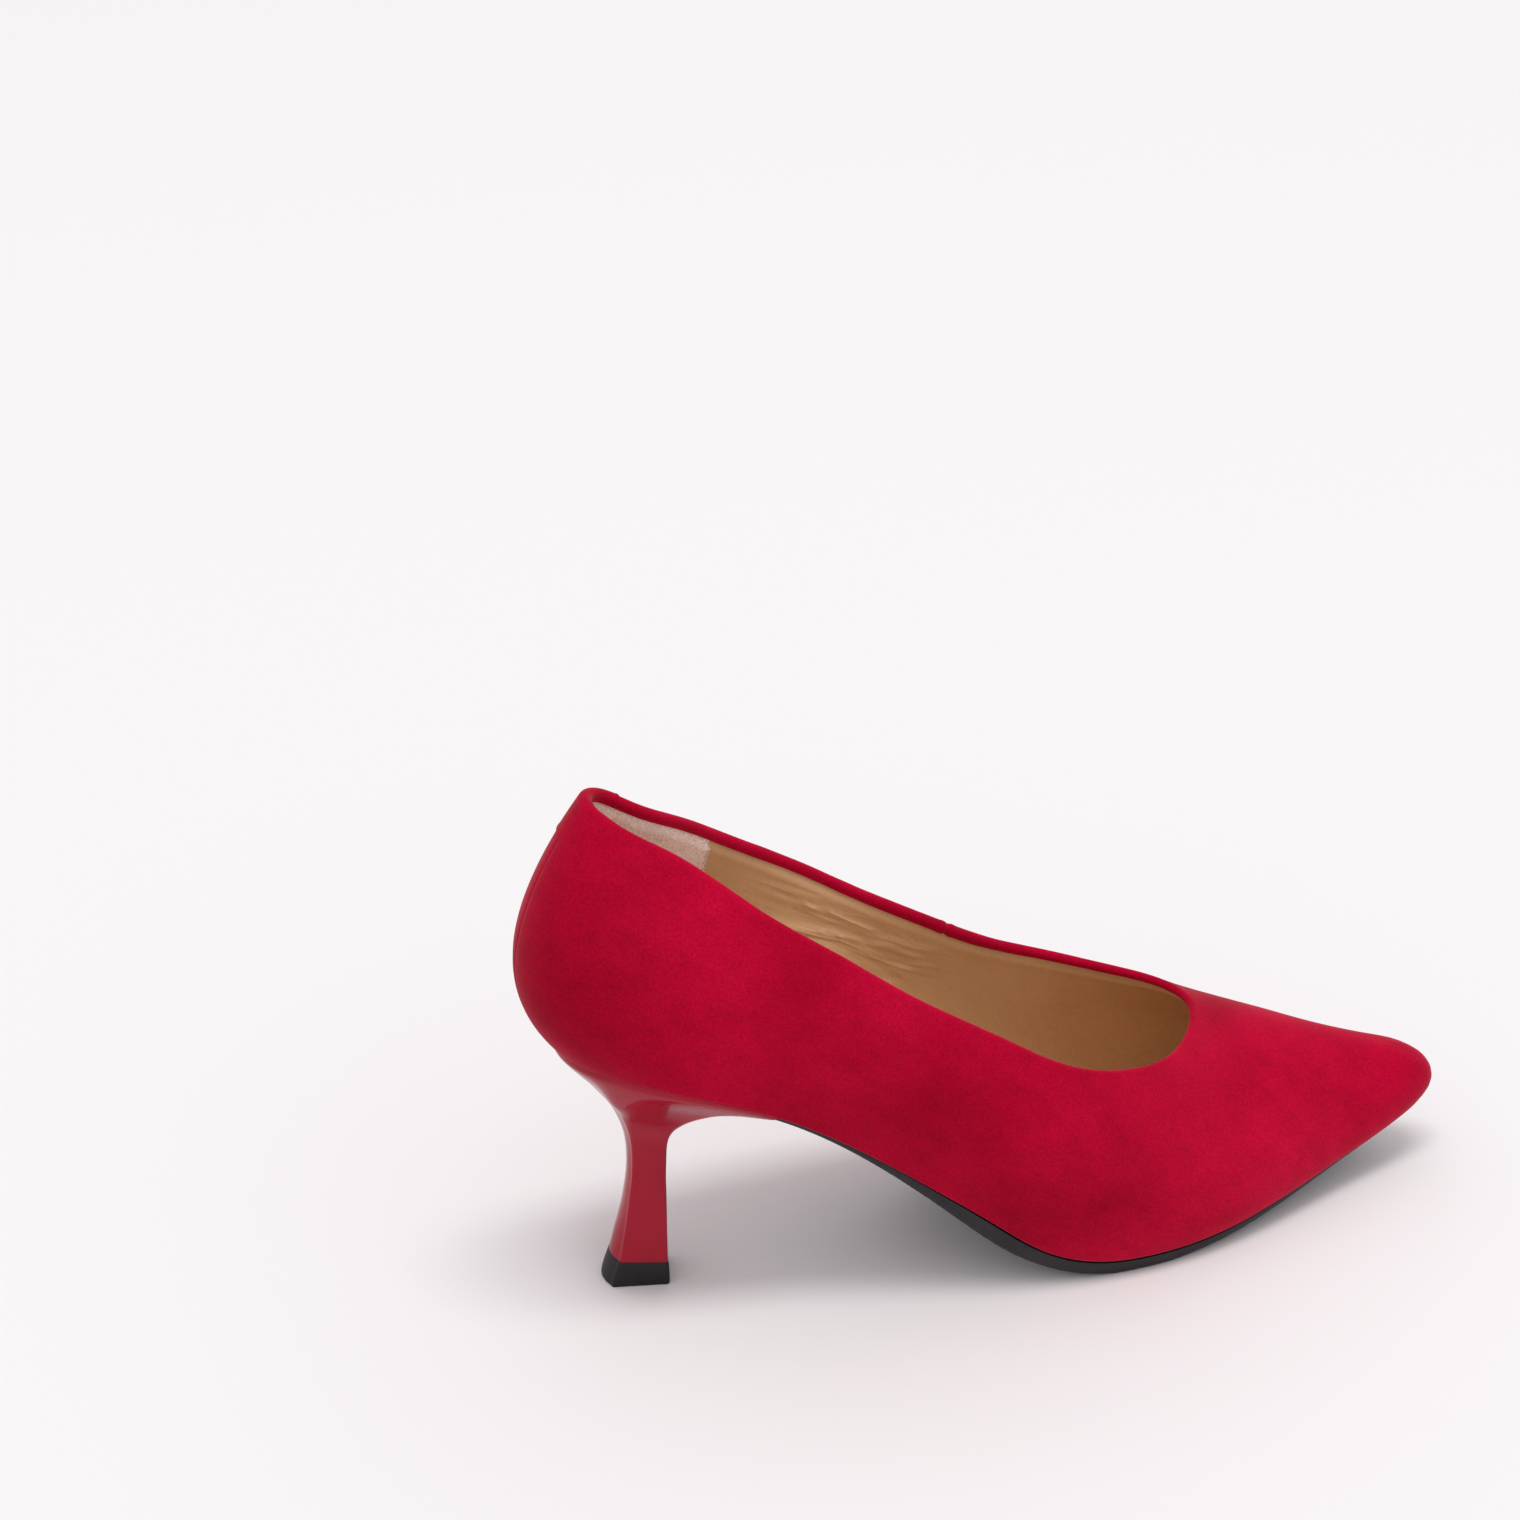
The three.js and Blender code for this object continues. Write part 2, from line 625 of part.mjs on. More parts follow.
/** A plate between two heights over the feather line, from one x to another. */
function board([start, end], inset, bottom, top) {
  return plate(start, end, [{ inset, z: bottom }, { inset, z: top }]);
}

/** Extra height of a pad over its edge: full in the middle, nothing at both ends. */
function padHeight([start, end]) {
  return (x) => {
    const rise = THREE.MathUtils.smoothstep(x, start, start + PAD.ramp);
    const fall = 1 - THREE.MathUtils.smoothstep(x, end - PAD.ramp, end);
    return (PAD.height - PAD.edge) * rise * fall;
  };
}

function pad(range) {
  const height = padHeight(range);
  const foot = BOARD.top + PAD.gap;
  return board(range, PAD.inset, over(foot), (x) => featherHeight(x) + foot + PAD.edge + height(x));
}

function sockLining() {
  const heights = [padHeight(PAD.heel), padHeight(PAD.forefoot)];
  const foot = BOARD.top + PAD.gap + PAD.edge + SOCK.gap;
  const bottom = (x) => featherHeight(x) + foot + heights[0](x) + heights[1](x);
  return board([BACK[0], SOCK.end], SOCK.inset, bottom, (x) => bottom(x) + SOCK.thickness);
}

function steelShank() {
  const { start, end, half, middle, bottom, top } = SHANK;
  const rounding = [0, 0.15, 0.5, 1].map((share) => share * half);
  const margin = half + STATION_MARGIN.plate;
  const stations = [
    ...rounding.map((length) => start + length),
    ...STATIONS.filter((x) => x > start + margin && x < end - margin),
    ...rounding.map((length) => end - length).reverse(),
  ];
  const rings = stations.map((x) => {
    const toEnd = Math.min(1, Math.min(x - start, end - x) / half);
    const width = half * Math.sqrt(1 - (1 - toEnd) ** 2);
    const low = featherHeight(x) + bottom;
    const high = featherHeight(x) + top;
    return [
      new THREE.Vector3(x, middle - width, low), new THREE.Vector3(x, middle + width, low),
      new THREE.Vector3(x, middle + width, high), new THREE.Vector3(x, middle - width, high),
    ];
  });
  return loft(rings, ladder(4));
}

function outsole() {
  const drop = curve(SOLE_DROP);
  const ground = (x) => Math.max(0, featherHeight(x) - drop(x));
  const top = over(SOLE_TOP);
  const edge = (x) => THREE.MathUtils.lerp(ground(x), top(x), SOLE_EDGE.height);
  const levels = [
    { inset: SOLE_EDGE.bottom, z: ground },
    { inset: SOLE_EDGE.side, z: edge, edgeOnly: true },
    { inset: SOLE_EDGE.side, z: top },
  ];
  return plate(BREAST.lateral + BREAST_GAP, TIP[0], levels, BREAST.lateral - BREAST.medial);
}

// ---------------------------------------------------------------- heel

// places on a heel ring: along one side from the breast to the back, round the back face,
// along the other side, and across the breast
const SIDE_STEPS = 5;
const BACK_STEPS = 6;
const FRONT_STEPS = 6;
const FAR_CORNER = 2 * SIDE_STEPS + BACK_STEPS;

/** The heel's top ring, under the feather edge. */
function rimRing(drop) {
  const points = [];
  const place = (side, u) => {
    const { x, y, nx, ny } = feather(side, u);
    const px = x - nx * HEEL_RIM;
    points.push(new THREE.Vector3(px, y - ny * HEEL_RIM, featherHeight(px) + SOLE_TOP - drop(px)));
  };
  for (let i = 0; i <= SIDE_STEPS; i++) {
    const x = THREE.MathUtils.lerp(BREAST.lateral, HEEL_ROUND_X, i / SIDE_STEPS);
    place('lateral', uAtX('lateral', x));
  }
  for (let i = 1; i < BACK_STEPS; i++) {
    const turn = (2 * i) / BACK_STEPS - 1;
    const side = turn < 0 ? 'lateral' : 'medial';
    place(side, Math.abs(turn) * uAtX(side, HEEL_ROUND_X));
  }
  for (let i = 0; i <= SIDE_STEPS; i++) {
    const x = THREE.MathUtils.lerp(HEEL_ROUND_X, BREAST.medial, i / SIDE_STEPS);
    place('medial', uAtX('medial', x));
  }
  for (let i = 1; i < FRONT_STEPS; i++) {
    const point = points[FAR_CORNER].clone().lerp(points[0], i / FRONT_STEPS);
    point.z = featherHeight(point.x) + SOLE_TOP - drop(point.x);
    points.push(point);
  }
  return points;
}

/** A ring of the heel below the seat: flat sides, rounded corners and a bowed back. */
function sectionRing({ zBack, zFront, back, front, half, corner, bulge, turn }) {
  const points = [];
  const place = (x, y) => points.push(new THREE.Vector3(
    x, y, THREE.MathUtils.mapLinear(x, back, front, zBack, zFront),
  ));
  const rounded = corner * (1 - Math.SQRT1_2);
  const behind = back + bulge;
  const side = (sign, i) => {
    const along = THREE.MathUtils.mapLinear(i, 1, SIDE_STEPS - 1, front - corner, behind + corner);
    if (i === 0) place(front - rounded, sign * (half - rounded));
    else if (i === SIDE_STEPS) place(behind + rounded, sign * (half - rounded));
    else place(along, sign * half);
  };
  const face = half - corner;
  for (let i = 0; i <= SIDE_STEPS; i++) side(-1, i);
  for (let i = 1; i < BACK_STEPS; i++) {
    const y = THREE.MathUtils.mapLinear(i, 1, BACK_STEPS - 1, -face, face);
    place(back + bulge * (y / face) ** 2, y);
  }
  for (let i = SIDE_STEPS; i >= 0; i--) side(1, i);
  for (let i = 1; i < FRONT_STEPS; i++) {
    place(front, THREE.MathUtils.mapLinear(i, 1, FRONT_STEPS - 1, face, -face));
  }
  const axis = new THREE.Vector3(TUBE.x, 0, 0);
  const upright = new THREE.Vector3(0, 0, 1);
  const angle = THREE.MathUtils.degToRad(turn);
  return points.map((point) => point.sub(axis).applyAxisAngle(upright, angle).add(axis));
}

/** Triangles that close a heel ring: a fan at the breast, then rungs across to the back. */
function heelCap() {
  const size = FAR_CORNER + FRONT_STEPS;
  const faces = [];
  for (let i = FAR_CORNER - 1; i < size; i++) faces.push([i, (i + 1) % size, 1]);
  for (let low = 1, high = FAR_CORNER - 1; high - low > 1; low++, high--) {
    faces.push([low, low + 1, high]);
    if (high - low > 2) faces.push([low + 1, high - 1, high]);
  }
  return faces;
}

function heelBlock() {
  const { back, lip, lipX } = HEEL_RIM_HEIGHT;
  const rim = (x) => THREE.MathUtils.lerp(back, lip, THREE.MathUtils.smoothstep(x, 0, lipX));
  const levels = [rimRing(() => 0), rimRing(rim), ...HEEL_SECTIONS.map(sectionRing)];
  const spines = levels[0].map((_, i) => new THREE.CatmullRomCurve3(levels.map((level) => level[i])));
  const rings = [levels[0]];
  HEEL_SPLITS.forEach((count, level) => {
    for (let i = 1; i <= count; i++) {
      const at = (level + i / count) / HEEL_SPLITS.length;
      rings.push(spines.map((spine) => spine.getPoint(at)));
    }
  });
  return loft(rings, heelCap());
}

const topPiece = () => loft(TOP_PIECE_SECTIONS.map(sectionRing), heelCap());

// ---------------------------------------------------------------- fasteners

/** A headed fastener with its head's top at the origin; grow widens it into its own hole. */
function fastener({ length, radius, headRadius, headHeight }, grow = 0) {
  const opened = grow > 0 ? HOLE_MOUTH : 0;
  return turned([
    [0, -length - grow], [radius + grow, POINT_LENGTH - length - grow],
    [radius + grow, -headHeight - grow],
    [headRadius + grow, -headHeight - grow], [headRadius + grow, opened], [0, opened],
  ]);
}

/** Leans a fastener so that it stands square on the board, and puts it there. */
function onBoard(geometry, x, y) {
  const normal = new THREE.Vector3(-slopeAt(featherHeight, x), 0, 1).normalize();
  const turn = new THREE.Quaternion().setFromUnitVectors(new THREE.Vector3(0, 0, 1), normal);
  const z = featherHeight(x) + BOARD.top - HEAD_SINK;
  return geometry.applyQuaternion(turn).translate(x, y, z);
}

/** A rivet's size: it ends level with the underside of the shank. */
function rivetSize(x) {
  const height = BOARD.top - HEAD_SINK - SHANK.bottom - HEAD_SINK;
  return { ...RIVET, length: height / Math.hypot(1, slopeAt(featherHeight, x)) };
}

/** A round rod, or the hole for one, standing in the heel. */
function rod(radius, bottom, top) {
  return turned([[0, bottom], [radius, bottom], [radius, top], [0, top]]).translate(TUBE.x, 0, 0);
}

function heelTube() {
  const { bore, radius, bottom, top } = TUBE;
  return turned([[bore, bottom], [radius, bottom], [radius, top], [bore, top], [bore, bottom]])
    .translate(TUBE.x, 0, 0);
}

function topPiecePin(grow = 0) {
  const { bottom, top, radius, headRadius, headHeight } = PIN;
  const headTop = bottom + headHeight + grow;
  return turned([
    [0, bottom - grow], [headRadius + grow, bottom - grow], [headRadius + grow, headTop],
    [radius + grow, headTop], [radius + grow, top], [0, top],
  ]).translate(TUBE.x, 0, 0);
}

// ---------------------------------------------------------------- materials and assembly

const SUEDE = { color: 0xb0002a, roughness: 0.95 };
const TAN_LEATHER = { color: 0xb98f66, roughness: 0.6 };
const GRIP_SUEDE = { color: 0xd2b49a, roughness: 0.95 };
const SOCK_LEATHER = { color: 0xc09a72, roughness: 0.6 };
const FIBRE_BOARD = { color: 0x9a8468, roughness: 0.9 };
const STIFFENER_SHEET = { color: 0xd8d2c4, roughness: 0.9 };
const WEBBING = { color: 0xf0ece2, roughness: 0.9 };
const FOAM = { color: 0xe6d9a8, roughness: 1 };
const CORK = { color: 0xa9825a, roughness: 1 };
const BLACK_SOLE = { color: 0x1c1b1f, roughness: 0.55 };
const RED_LACQUER = { color: 0xa30a1e, roughness: 0.18 };
const BLACK_LIFT = { color: 0x161518, roughness: 0.5 };
const STEEL = { color: 0x9a9da2, roughness: 0.35, metalness: 1 };

const shoe = new THREE.Group();

function add(name, geometry, { color, roughness, metalness = 0 }) {
  const material = new THREE.MeshStandardMaterial({ color, roughness, metalness });
  const mesh = new THREE.Mesh(geometry, material);
  mesh.name = name;
  shoe.add(mesh);
}

const sheet = wallSheet();
const tabRow = ({ low }) => low >= TAB_FOOT;
const isTab = (cell) => cell.zone <= ZONE.back && cell.gap !== 'tab' && tabRow(cell);
const besideTab = ({ zone, low }) => zone === ZONE.back && low >= TAB_FOOT - WALL_GAP;
const inner = ({ low }) => low >= 0;
const isMedial = ({ side }) => side === 'medial';
const inQuarter = ({ zone, gap }) => zone >= ZONE.back && zone < ZONE.seam && gap !== 'seam';
const beforeThroat = ({ zone, gap }) => zone < ZONE.throat && gap !== 'throat';
const quarterLined = (cell) => inner(cell) && cell.zone >= ZONE.grip && beforeThroat(cell);

function addLayer(name, depths, material, chosen) {
  add(name, layer(sheet, depths, chosen), material);
}

addLayer('vamp', UPPER, SUEDE, (cell) => !isMedial(cell) || cell.zone >= ZONE.seam || isTab(cell));
addLayer('medial_quarter', UPPER, SUEDE, (cell) => (
  isMedial(cell) && inQuarter(cell) && !besideTab(cell)
));
addLayer('topline_tape', TAPE, WEBBING, (cell) => cell.low === TAB_FOOT && beforeThroat(cell));
addLayer('toe_puff', STIFFENER, STIFFENER_SHEET, (cell) => inner(cell) && ridgeX(cell.x) > PUFF_X);
addLayer('heel_counter', STIFFENER, STIFFENER_SHEET, (cell) => (
  inner(cell) && cell.low < COUNTER_TOP && cell.u < COUNTER_LENGTH
));
addLayer('vamp_lining', LINING, TAN_LEATHER, (cell) => inner(cell) && cell.zone >= ZONE.throat);
addLayer('lateral_quarter_lining', LINING, TAN_LEATHER, (cell) => quarterLined(cell) && !isMedial(cell));
addLayer('medial_quarter_lining', LINING, TAN_LEATHER, (cell) => quarterLined(cell) && isMedial(cell));
addLayer('heel_grip', LINING, GRIP_SUEDE, (cell) => (
  inner(cell) && cell.zone < ZONE.grip && cell.gap !== 'grip'
));

const boardFaces = [BOARD.inset, over(BOARD.bottom), over(BOARD.top)];
const nailHoles = NAIL_PLACES.map(([x, y]) => onBoard(fastener(NAIL, CLEARANCE), x, y));
const screwHole = onBoard(fastener(SCREW, CLEARANCE), SCREW.x, SCREW.y);
const rivetHoles = RIVET_PLACES.map((x) => (
  onBoard(fastener({ ...rivetSize(x), length: SHANK_REACH }, CLEARANCE), x, SHANK.middle)
));
add('insole_board', board([BOARD.joint + BOARD.gap, BOARD.end], ...boardFaces), FIBRE_BOARD);
add('shank_board', drilled(
  board([BACK[0], BOARD.joint], ...boardFaces), [...nailHoles, screwHole, ...rivetHoles],
), FIBRE_BOARD);
add('steel_shank', drilled(steelShank(), [screwHole, ...rivetHoles]), STEEL);
['shank_rivet_rear', 'shank_rivet_front'].forEach((name, i) => {
  const x = RIVET_PLACES[i];
  add(name, onBoard(fastener(rivetSize(x)), x, SHANK.middle), STEEL);
});
add('bottom_filler', board(
  [FILLER.start, FILLER.end], FILLER.inset, over(FILLER.bottom), over(FILLER.top),
), CORK);
add('heel_pad', pad(PAD.heel), FOAM);
add('forefoot_pad', pad(PAD.forefoot), FOAM);
add('sock_lining', sockLining(), SOCK_LEATHER);
add('outsole', outsole(), BLACK_SOLE);

const tubeHole = rod(
  TUBE.radius + TUBE.clearance, TUBE.bottom - HOLE_MOUTH, TUBE.top + TUBE.clearance,
);
add('heel_block', drilled(heelBlock(), [...nailHoles, screwHole, tubeHole]), RED_LACQUER);
add('heel_tube', heelTube(), STEEL);
add('top_piece', drilled(topPiece(), [topPiecePin(CLEARANCE)]), BLACK_LIFT);
add('top_piece_pin', topPiecePin(), STEEL);
add('heel_screw', onBoard(fastener(SCREW), SCREW.x, SCREW.y), STEEL);
NAIL_PLACES.forEach(([x, y], i) => add(`heel_nail_${i + 1}`, onBoard(fastener(NAIL), x, y), STEEL));

const box = new THREE.Box3().setFromObject(shoe);
const middle = box.getCenter(new THREE.Vector3());
shoe.position.set(-middle.x, -middle.y, -box.min.z);

export default shoe;
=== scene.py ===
"""High heel pump, right foot: the looks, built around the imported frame.

The wall of the shoe is one sheet of ribs that stand on the feather edge (the line where the upper
meets the sole). Its layers are offsets of that sheet. Tables are in millimetres in the last's own
frame, whose origin is on the ground under the heel tube; the frame's heel tube says where that is.
"""

import json
import math

import bmesh
import bpy
import numpy as np
from mathutils import Matrix, Vector, kdtree, noise

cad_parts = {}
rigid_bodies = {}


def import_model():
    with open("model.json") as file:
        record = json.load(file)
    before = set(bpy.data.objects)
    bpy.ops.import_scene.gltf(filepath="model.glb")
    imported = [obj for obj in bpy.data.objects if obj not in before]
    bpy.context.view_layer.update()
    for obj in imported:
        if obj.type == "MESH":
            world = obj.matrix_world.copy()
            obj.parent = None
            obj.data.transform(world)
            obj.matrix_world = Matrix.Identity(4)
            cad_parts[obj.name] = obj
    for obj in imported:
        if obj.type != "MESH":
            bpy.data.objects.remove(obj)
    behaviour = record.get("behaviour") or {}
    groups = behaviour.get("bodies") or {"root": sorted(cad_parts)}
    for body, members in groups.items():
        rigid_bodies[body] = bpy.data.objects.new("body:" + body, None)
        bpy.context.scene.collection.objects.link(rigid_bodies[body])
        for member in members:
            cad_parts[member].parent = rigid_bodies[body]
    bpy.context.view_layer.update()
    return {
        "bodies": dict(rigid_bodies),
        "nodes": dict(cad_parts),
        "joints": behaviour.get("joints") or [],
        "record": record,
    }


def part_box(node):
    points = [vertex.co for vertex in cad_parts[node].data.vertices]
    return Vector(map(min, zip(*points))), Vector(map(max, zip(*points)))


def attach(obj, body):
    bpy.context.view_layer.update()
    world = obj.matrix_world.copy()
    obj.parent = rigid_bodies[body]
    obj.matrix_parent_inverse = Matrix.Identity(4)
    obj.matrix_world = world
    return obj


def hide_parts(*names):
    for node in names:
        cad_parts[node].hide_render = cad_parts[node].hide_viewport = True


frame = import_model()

MM = 0.001
BODY = "root"

# ---- the last, in millimetres

SIDES = ("lateral", "medial")
BACK = (-19.5, 0)
TIP = (210.5, 3.4)
FEATHER_EDGE = [        # x, and y at the lateral and at the medial side
    (-16.5, -10, 10), (-9, -17.3, 17.3), (2, -22.3, 21.6), (15, -23.2, 22), (29, -22.8, 20.6),
    (50, -24.4, 19.6), (72, -28, 23.6), (91, -32.2, 30.4), (108, -34.2, 35.6), (124, -33.6, 37.2),
    (143, -29.6, 34), (165, -21, 26), (185, -11.6, 17), (200, -4.9, 10.6),
]
FEATHER_HEIGHT = [
    (-21, 69.6), (-9, 68.2), (2, 65.6), (15, 60.8), (29, 54.4), (50, 42.2), (64, 32.6),
    (73, 26.2), (82, 19.6), (91, 12.8), (100, 7.8), (110, 5), (122, 4), (135, 4.1), (150, 5.1),
    (165, 6.9), (180, 9.1), (195, 11.8), (212, 15.6),
]
FOOT_OUT = [
    (-21, 22), (-9, 16), (2, 10), (15, 8), (110, 8), (140, 7), (170, 5.5), (195, 5), (211, 5),
]
FOOT_UP = [             # x, lateral and medial
    (-21, 22, 22), (0, 26, 26), (50, 28, 28), (90, 24, 26), (120, 18, 22), (150, 13, 16),
    (180, 9.5, 10.5), (211, 7, 7),
]
RIDGE_SPAN = [          # x, lateral and medial
    (-21, 35, 35), (-14, 20, 20), (-4, 10, 10), (15, 22, 22), (30, 32, 32), (60, 46, 42),
    (95, 50, 37), (125, 42, 34), (145, 31, 28), (170, 18, 17), (195, 10.5, 10.5), (211, 11, 11),
]
RIDGE_DROP = [
    (-21, 36), (0, 36), (30, 34), (60, 24), (90, 13), (120, 5), (140, 1), (155, 0), (211, 0),
]
RIB_LEAN = (60, 120)
RIDGE_X = [
    (-21, 10), (0, 15), (30, 38), (100, 101), (145, 146), (180, 177), (200, 193), (211, 200),
]
RIDGE_Y = [(8, 0), (38, 1), (100, 5), (146, 7.5), (177, 5.5), (200, 4)]
RIDGE_Z = [
    (8, 163), (38, 148), (70, 119), (101, 90), (125, 67), (146, 51.5), (166, 43.6), (185, 36.4),
    (200, 31.2),
]
TOPLINE = [
    (-30, 140), (-10, 135.5), (0, 129.6), (13, 121), (29, 109.2), (45, 98.4), (60, 88), (76, 78),
    (87, 71.1), (96, 65.4), (104, 61.2), (115, 57), (126, 53.6), (136, 51.6), (146, 51.5),
]
SKIVE = [(185, 1), (196, 0.9), (206, 0.6), (213, 0.45)]
MARGIN_WIDTH = [(165, 8), (190, 5), (205, 2.4), (211, 2.2)]
MARGIN_DEPTH = 0.5
BOARD_LINE = 3.6
TOPLINE_OVER = 0.25

# ---- pieces, in millimetres

SIDE_SEAM = (0.308, 0.508)      # fractions of the way to the toe tip, at the foot and at the top
GRIP_LENGTH = 0.196             # the same, where the grip ends
UPPER_THICKNESS = 1.1
LINING = (2.1, 2.9)             # depths of its faces below the upper's outer face
GRIP_LIFT = 0.3                 # how much thicker the grip is than the linings
TAPE_DEPTHS = (1.16, 1.5)
FOLD_RADIUS = 1.45              # the turned edge of the topline
FOLD_RADII = [(90, FOLD_RADIUS), (147, 0.74 * FOLD_RADIUS)]
FOLD_THICKNESS = 0.5
THROAT_X = 146 + FOLD_RADIUS
LEAF_LENGTH = [(-20, 1.2), (90, 1.1), (147, 0.5)]
LEAF_TUCK = 0.12
RIPPLE = {"size": 0.06, "scale": 0.16}
NOTCH = {"depth": 0.2, "width": 0.7, "swell": 0.16, "swell_at": 1.6, "swell_width": 0.8}
SEAM_DEPTH = {"back": 0.16, "side": 0.3}
SEAM_WIDTH = 0.5
UPPER_UNEVEN = (0.11, 0.06, 3.1)    # height, scale and seed
LINING_UNEVEN = (0.12, 0.09, 8.2)
SQUEEZE = {"start": 1.3, "end": 3.2, "depth": 0.62, "thickness": 0.6,
           "bulge": 0.22, "bulge_at": 3.6, "bulge_width": 1.1}
# foot is its end as a share of the wall, share its length as one of the way to the toe tip, and
# back how far it runs past the back seam, as one of its length; the rest is in millimetres
TAB = {"foot": 0.87, "straight": 2.5, "corner": 6.0, "height": 8.5, "length": 15.5,
       "share": 0.075, "over": 0.28, "under": 0.25, "back": 0.55, "sunk": 0.12, "leaf": 0.5,
       "rim": 0.14, "rim_at": 0.75, "rim_width": 0.45, "round": 0.28, "fade": 3.5}
STITCH = {"pitch": 0.95, "stroke": 0.86, "reach": 0.75, "radius": 0.16, "rise": 0.12, "sink": 0.3}
BOARD_TOP = 2.9
PAD = {"inset": 4.2, "gap": 0.2, "height": 1.7, "edge": 0.3, "ramp": 12,
       "heel": (-19.5, 46), "forefoot": (98, 164), "back_gap": 0.3}
SOCK = {"inset": 2.4, "gap": 0.25, "thickness": 0.8, "end": 199, "dish": 0.7, "back_gap": 0.2}
FOLDS = {"depth": 0.5, "slope": 0.55, "length": 6, "pitch": 5.2,
         "places": [((52, 20, 77), (40, 30, 20)), ((76, 24, 61), (24, 24, 14)),
                    ((44, -22, 84), (36, 30, 18))]}
SOLE_TOP = -0.8
SOLE_DROP = [
    (22, 2.6), (50, 2.7), (64, 3.8), (74, 5.2), (83, 6.2), (94, 5.2), (105, 4.5), (122, 4.3),
    (135, 3.6), (150, 3), (170, 2.5), (190, 2.1), (212, 1.9),
]
SOLE_CROWN = 0.35
SOLE_END = TIP[0] - 1.2
SOLE_INSET = {"ball": 0.45, "waist": 2.2, "toe": 1.1}
BREAST = {"lateral": 30, "medial": 22}
BREAST_GAP = 0.5
SKEW_LENGTH = 20
HEEL_TOP = -0.28
HEEL_RIM = 0.36
HEEL_RIM_HEIGHT = {"back": 1.3, "lip": 0.5, "lip_x": 28}
HEEL_ROUND_X = -9
# z at the back and front, back and front x, half width, corner, bulge and turn in degrees
HEEL_SECTIONS = [
    (59, 50.5, -11.7, 20, 14, 5, 3, -3),
    (50.5, 46.2, -5.8, 11.7, 8.6, 2.6, 1.8, -6),
    (42, 42, -2.5, 8.6, 5.8, 1.2, 1.2, -9),
    (33, 33, -1.7, 7.8, 4.6, 0.7, 1, -10),
    (22, 22, -2.9, 7.8, 5, 0.6, 1.1, -10),
    (12, 12, -5.2, 7.8, 5.9, 0.6, 1.9, -10),
    (7.25, 6.35, -6.3, 7.9, 6.3, 0.7, 2.1, -10),
]
TOP_PIECE_SECTIONS = [
    (7.25, 6.35, -6.2, 7.75, 6.15, 0.7, 2.1, -10),
    (7.1, 6.2, -6.4, 7.9, 6.3, 0.7, 2.1, -10),
    (6.8, 6, -6.55, 8, 6.4, 0.7, 2.1, -10),
    (0.5, 0.5, -8.3, 8.2, 6.7, 0.7, 2, -10),
    (0.15, 0.15, -8.2, 8.1, 6.6, 0.7, 2, -10),
    (0, 0, -8, 7.9, 6.4, 0.7, 2, -10),
]
TUBE_X = 2.9

# where the last's frame lies in the row's frame
_low, _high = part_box("heel_tube")
SHIFT = np.array([(_low.x + _high.x) / 2 / MM - TUBE_X, (_low.y + _high.y) / 2 / MM, 0.0])

# ---- splines


def cubic(left, right, bend_left, bend_right, to_left, to_right):
    """A cubic spline's value between two knots, from the values and bends at both."""
    span = to_left + to_right
    return ((bend_left * to_right**3 + bend_right * to_left**3) / (6 * span)
            + (left / span - bend_left * span / 6) * to_right
            + (right / span - bend_right * span / 6) * to_left)


def curve(points):
    """Natural cubic spline through (x, y) points, level beyond its ends."""
    x, y = np.array(points, float).T
    gap, rise = np.diff(x), np.diff(y)
    matrix, right = np.eye(len(x)), np.zeros(len(x))
    for i in range(1, len(x) - 1):
        matrix[i, i - 1:i + 2] = gap[i - 1], 2 * (gap[i - 1] + gap[i]), gap[i]
        right[i] = 6 * (rise[i] / gap[i] - rise[i - 1] / gap[i - 1])
    bend = np.linalg.solve(matrix, right)

    def at(value):
        t = np.clip(value, x[0], x[-1])
        i = np.clip(np.searchsorted(x, t, side="right") - 1, 0, len(x) - 2)
        return cubic(y[i], y[i + 1], bend[i], bend[i + 1], t - x[i], x[i + 1] - t)

    return at


def line(points):
    """Straight lines through (x, y) points, level beyond their ends."""
    x, y = np.array(points, float).T
    return lambda value: np.interp(value, x, y)


def closed_curve(points):
    """Closed cubic spline by the distance along its chords: (its function, its knots)."""
    p = np.array(points, float)
    count = len(p)
    ahead = np.roll(p, -1, 0)
    gap = np.linalg.norm(ahead - p, axis=1)
    knots = np.concatenate([[0], np.cumsum(gap)])
    matrix = np.zeros((count, count))
    slope = (ahead - p) / gap[:, None]
    for i in range(count):
        matrix[i, i - 1] += gap[i - 1]
        matrix[i, i] += 2 * (gap[i - 1] + gap[i])
        matrix[i, (i + 1) % count] += gap[i]
    bend = np.linalg.solve(matrix, 6 * (slope - np.roll(slope, 1, 0)))

    def at(distance):
        s = np.mod(distance, knots[-1])
        i = np.clip(np.searchsorted(knots, s, side="right") - 1, 0, count - 1)
        j = (i + 1) % count
        return cubic(p[i], p[j], bend[i], bend[j], (s - knots[i])[..., None],
                     (knots[i + 1] - s)[..., None])

    return at, knots


def first_true(low, high, test):
    """The values between low and high at which a rising test turns true."""
    for _ in range(44):
        middle = (low + high) / 2
        found = test(middle)
        high = np.where(found, middle, high)
        low = np.where(found, low, middle)
    return high


def smoothstep(value, low, high):
    t = np.clip((value - low) / (high - low), 0, 1)
    return t * t * (3 - 2 * t)


def unit(v):
    return v / np.maximum(np.linalg.norm(v, axis=-1, keepdims=True), 1e-9)


def bell(value, width):
    return np.exp(-(value / width)**2)


# ---- the last's surface


def by_side(rows):
    """A curve for each side, from rows of (x, lateral, medial)."""
    return {side: curve([(row[0], row[k]) for row in rows]) for k, side in enumerate(SIDES, 1)}


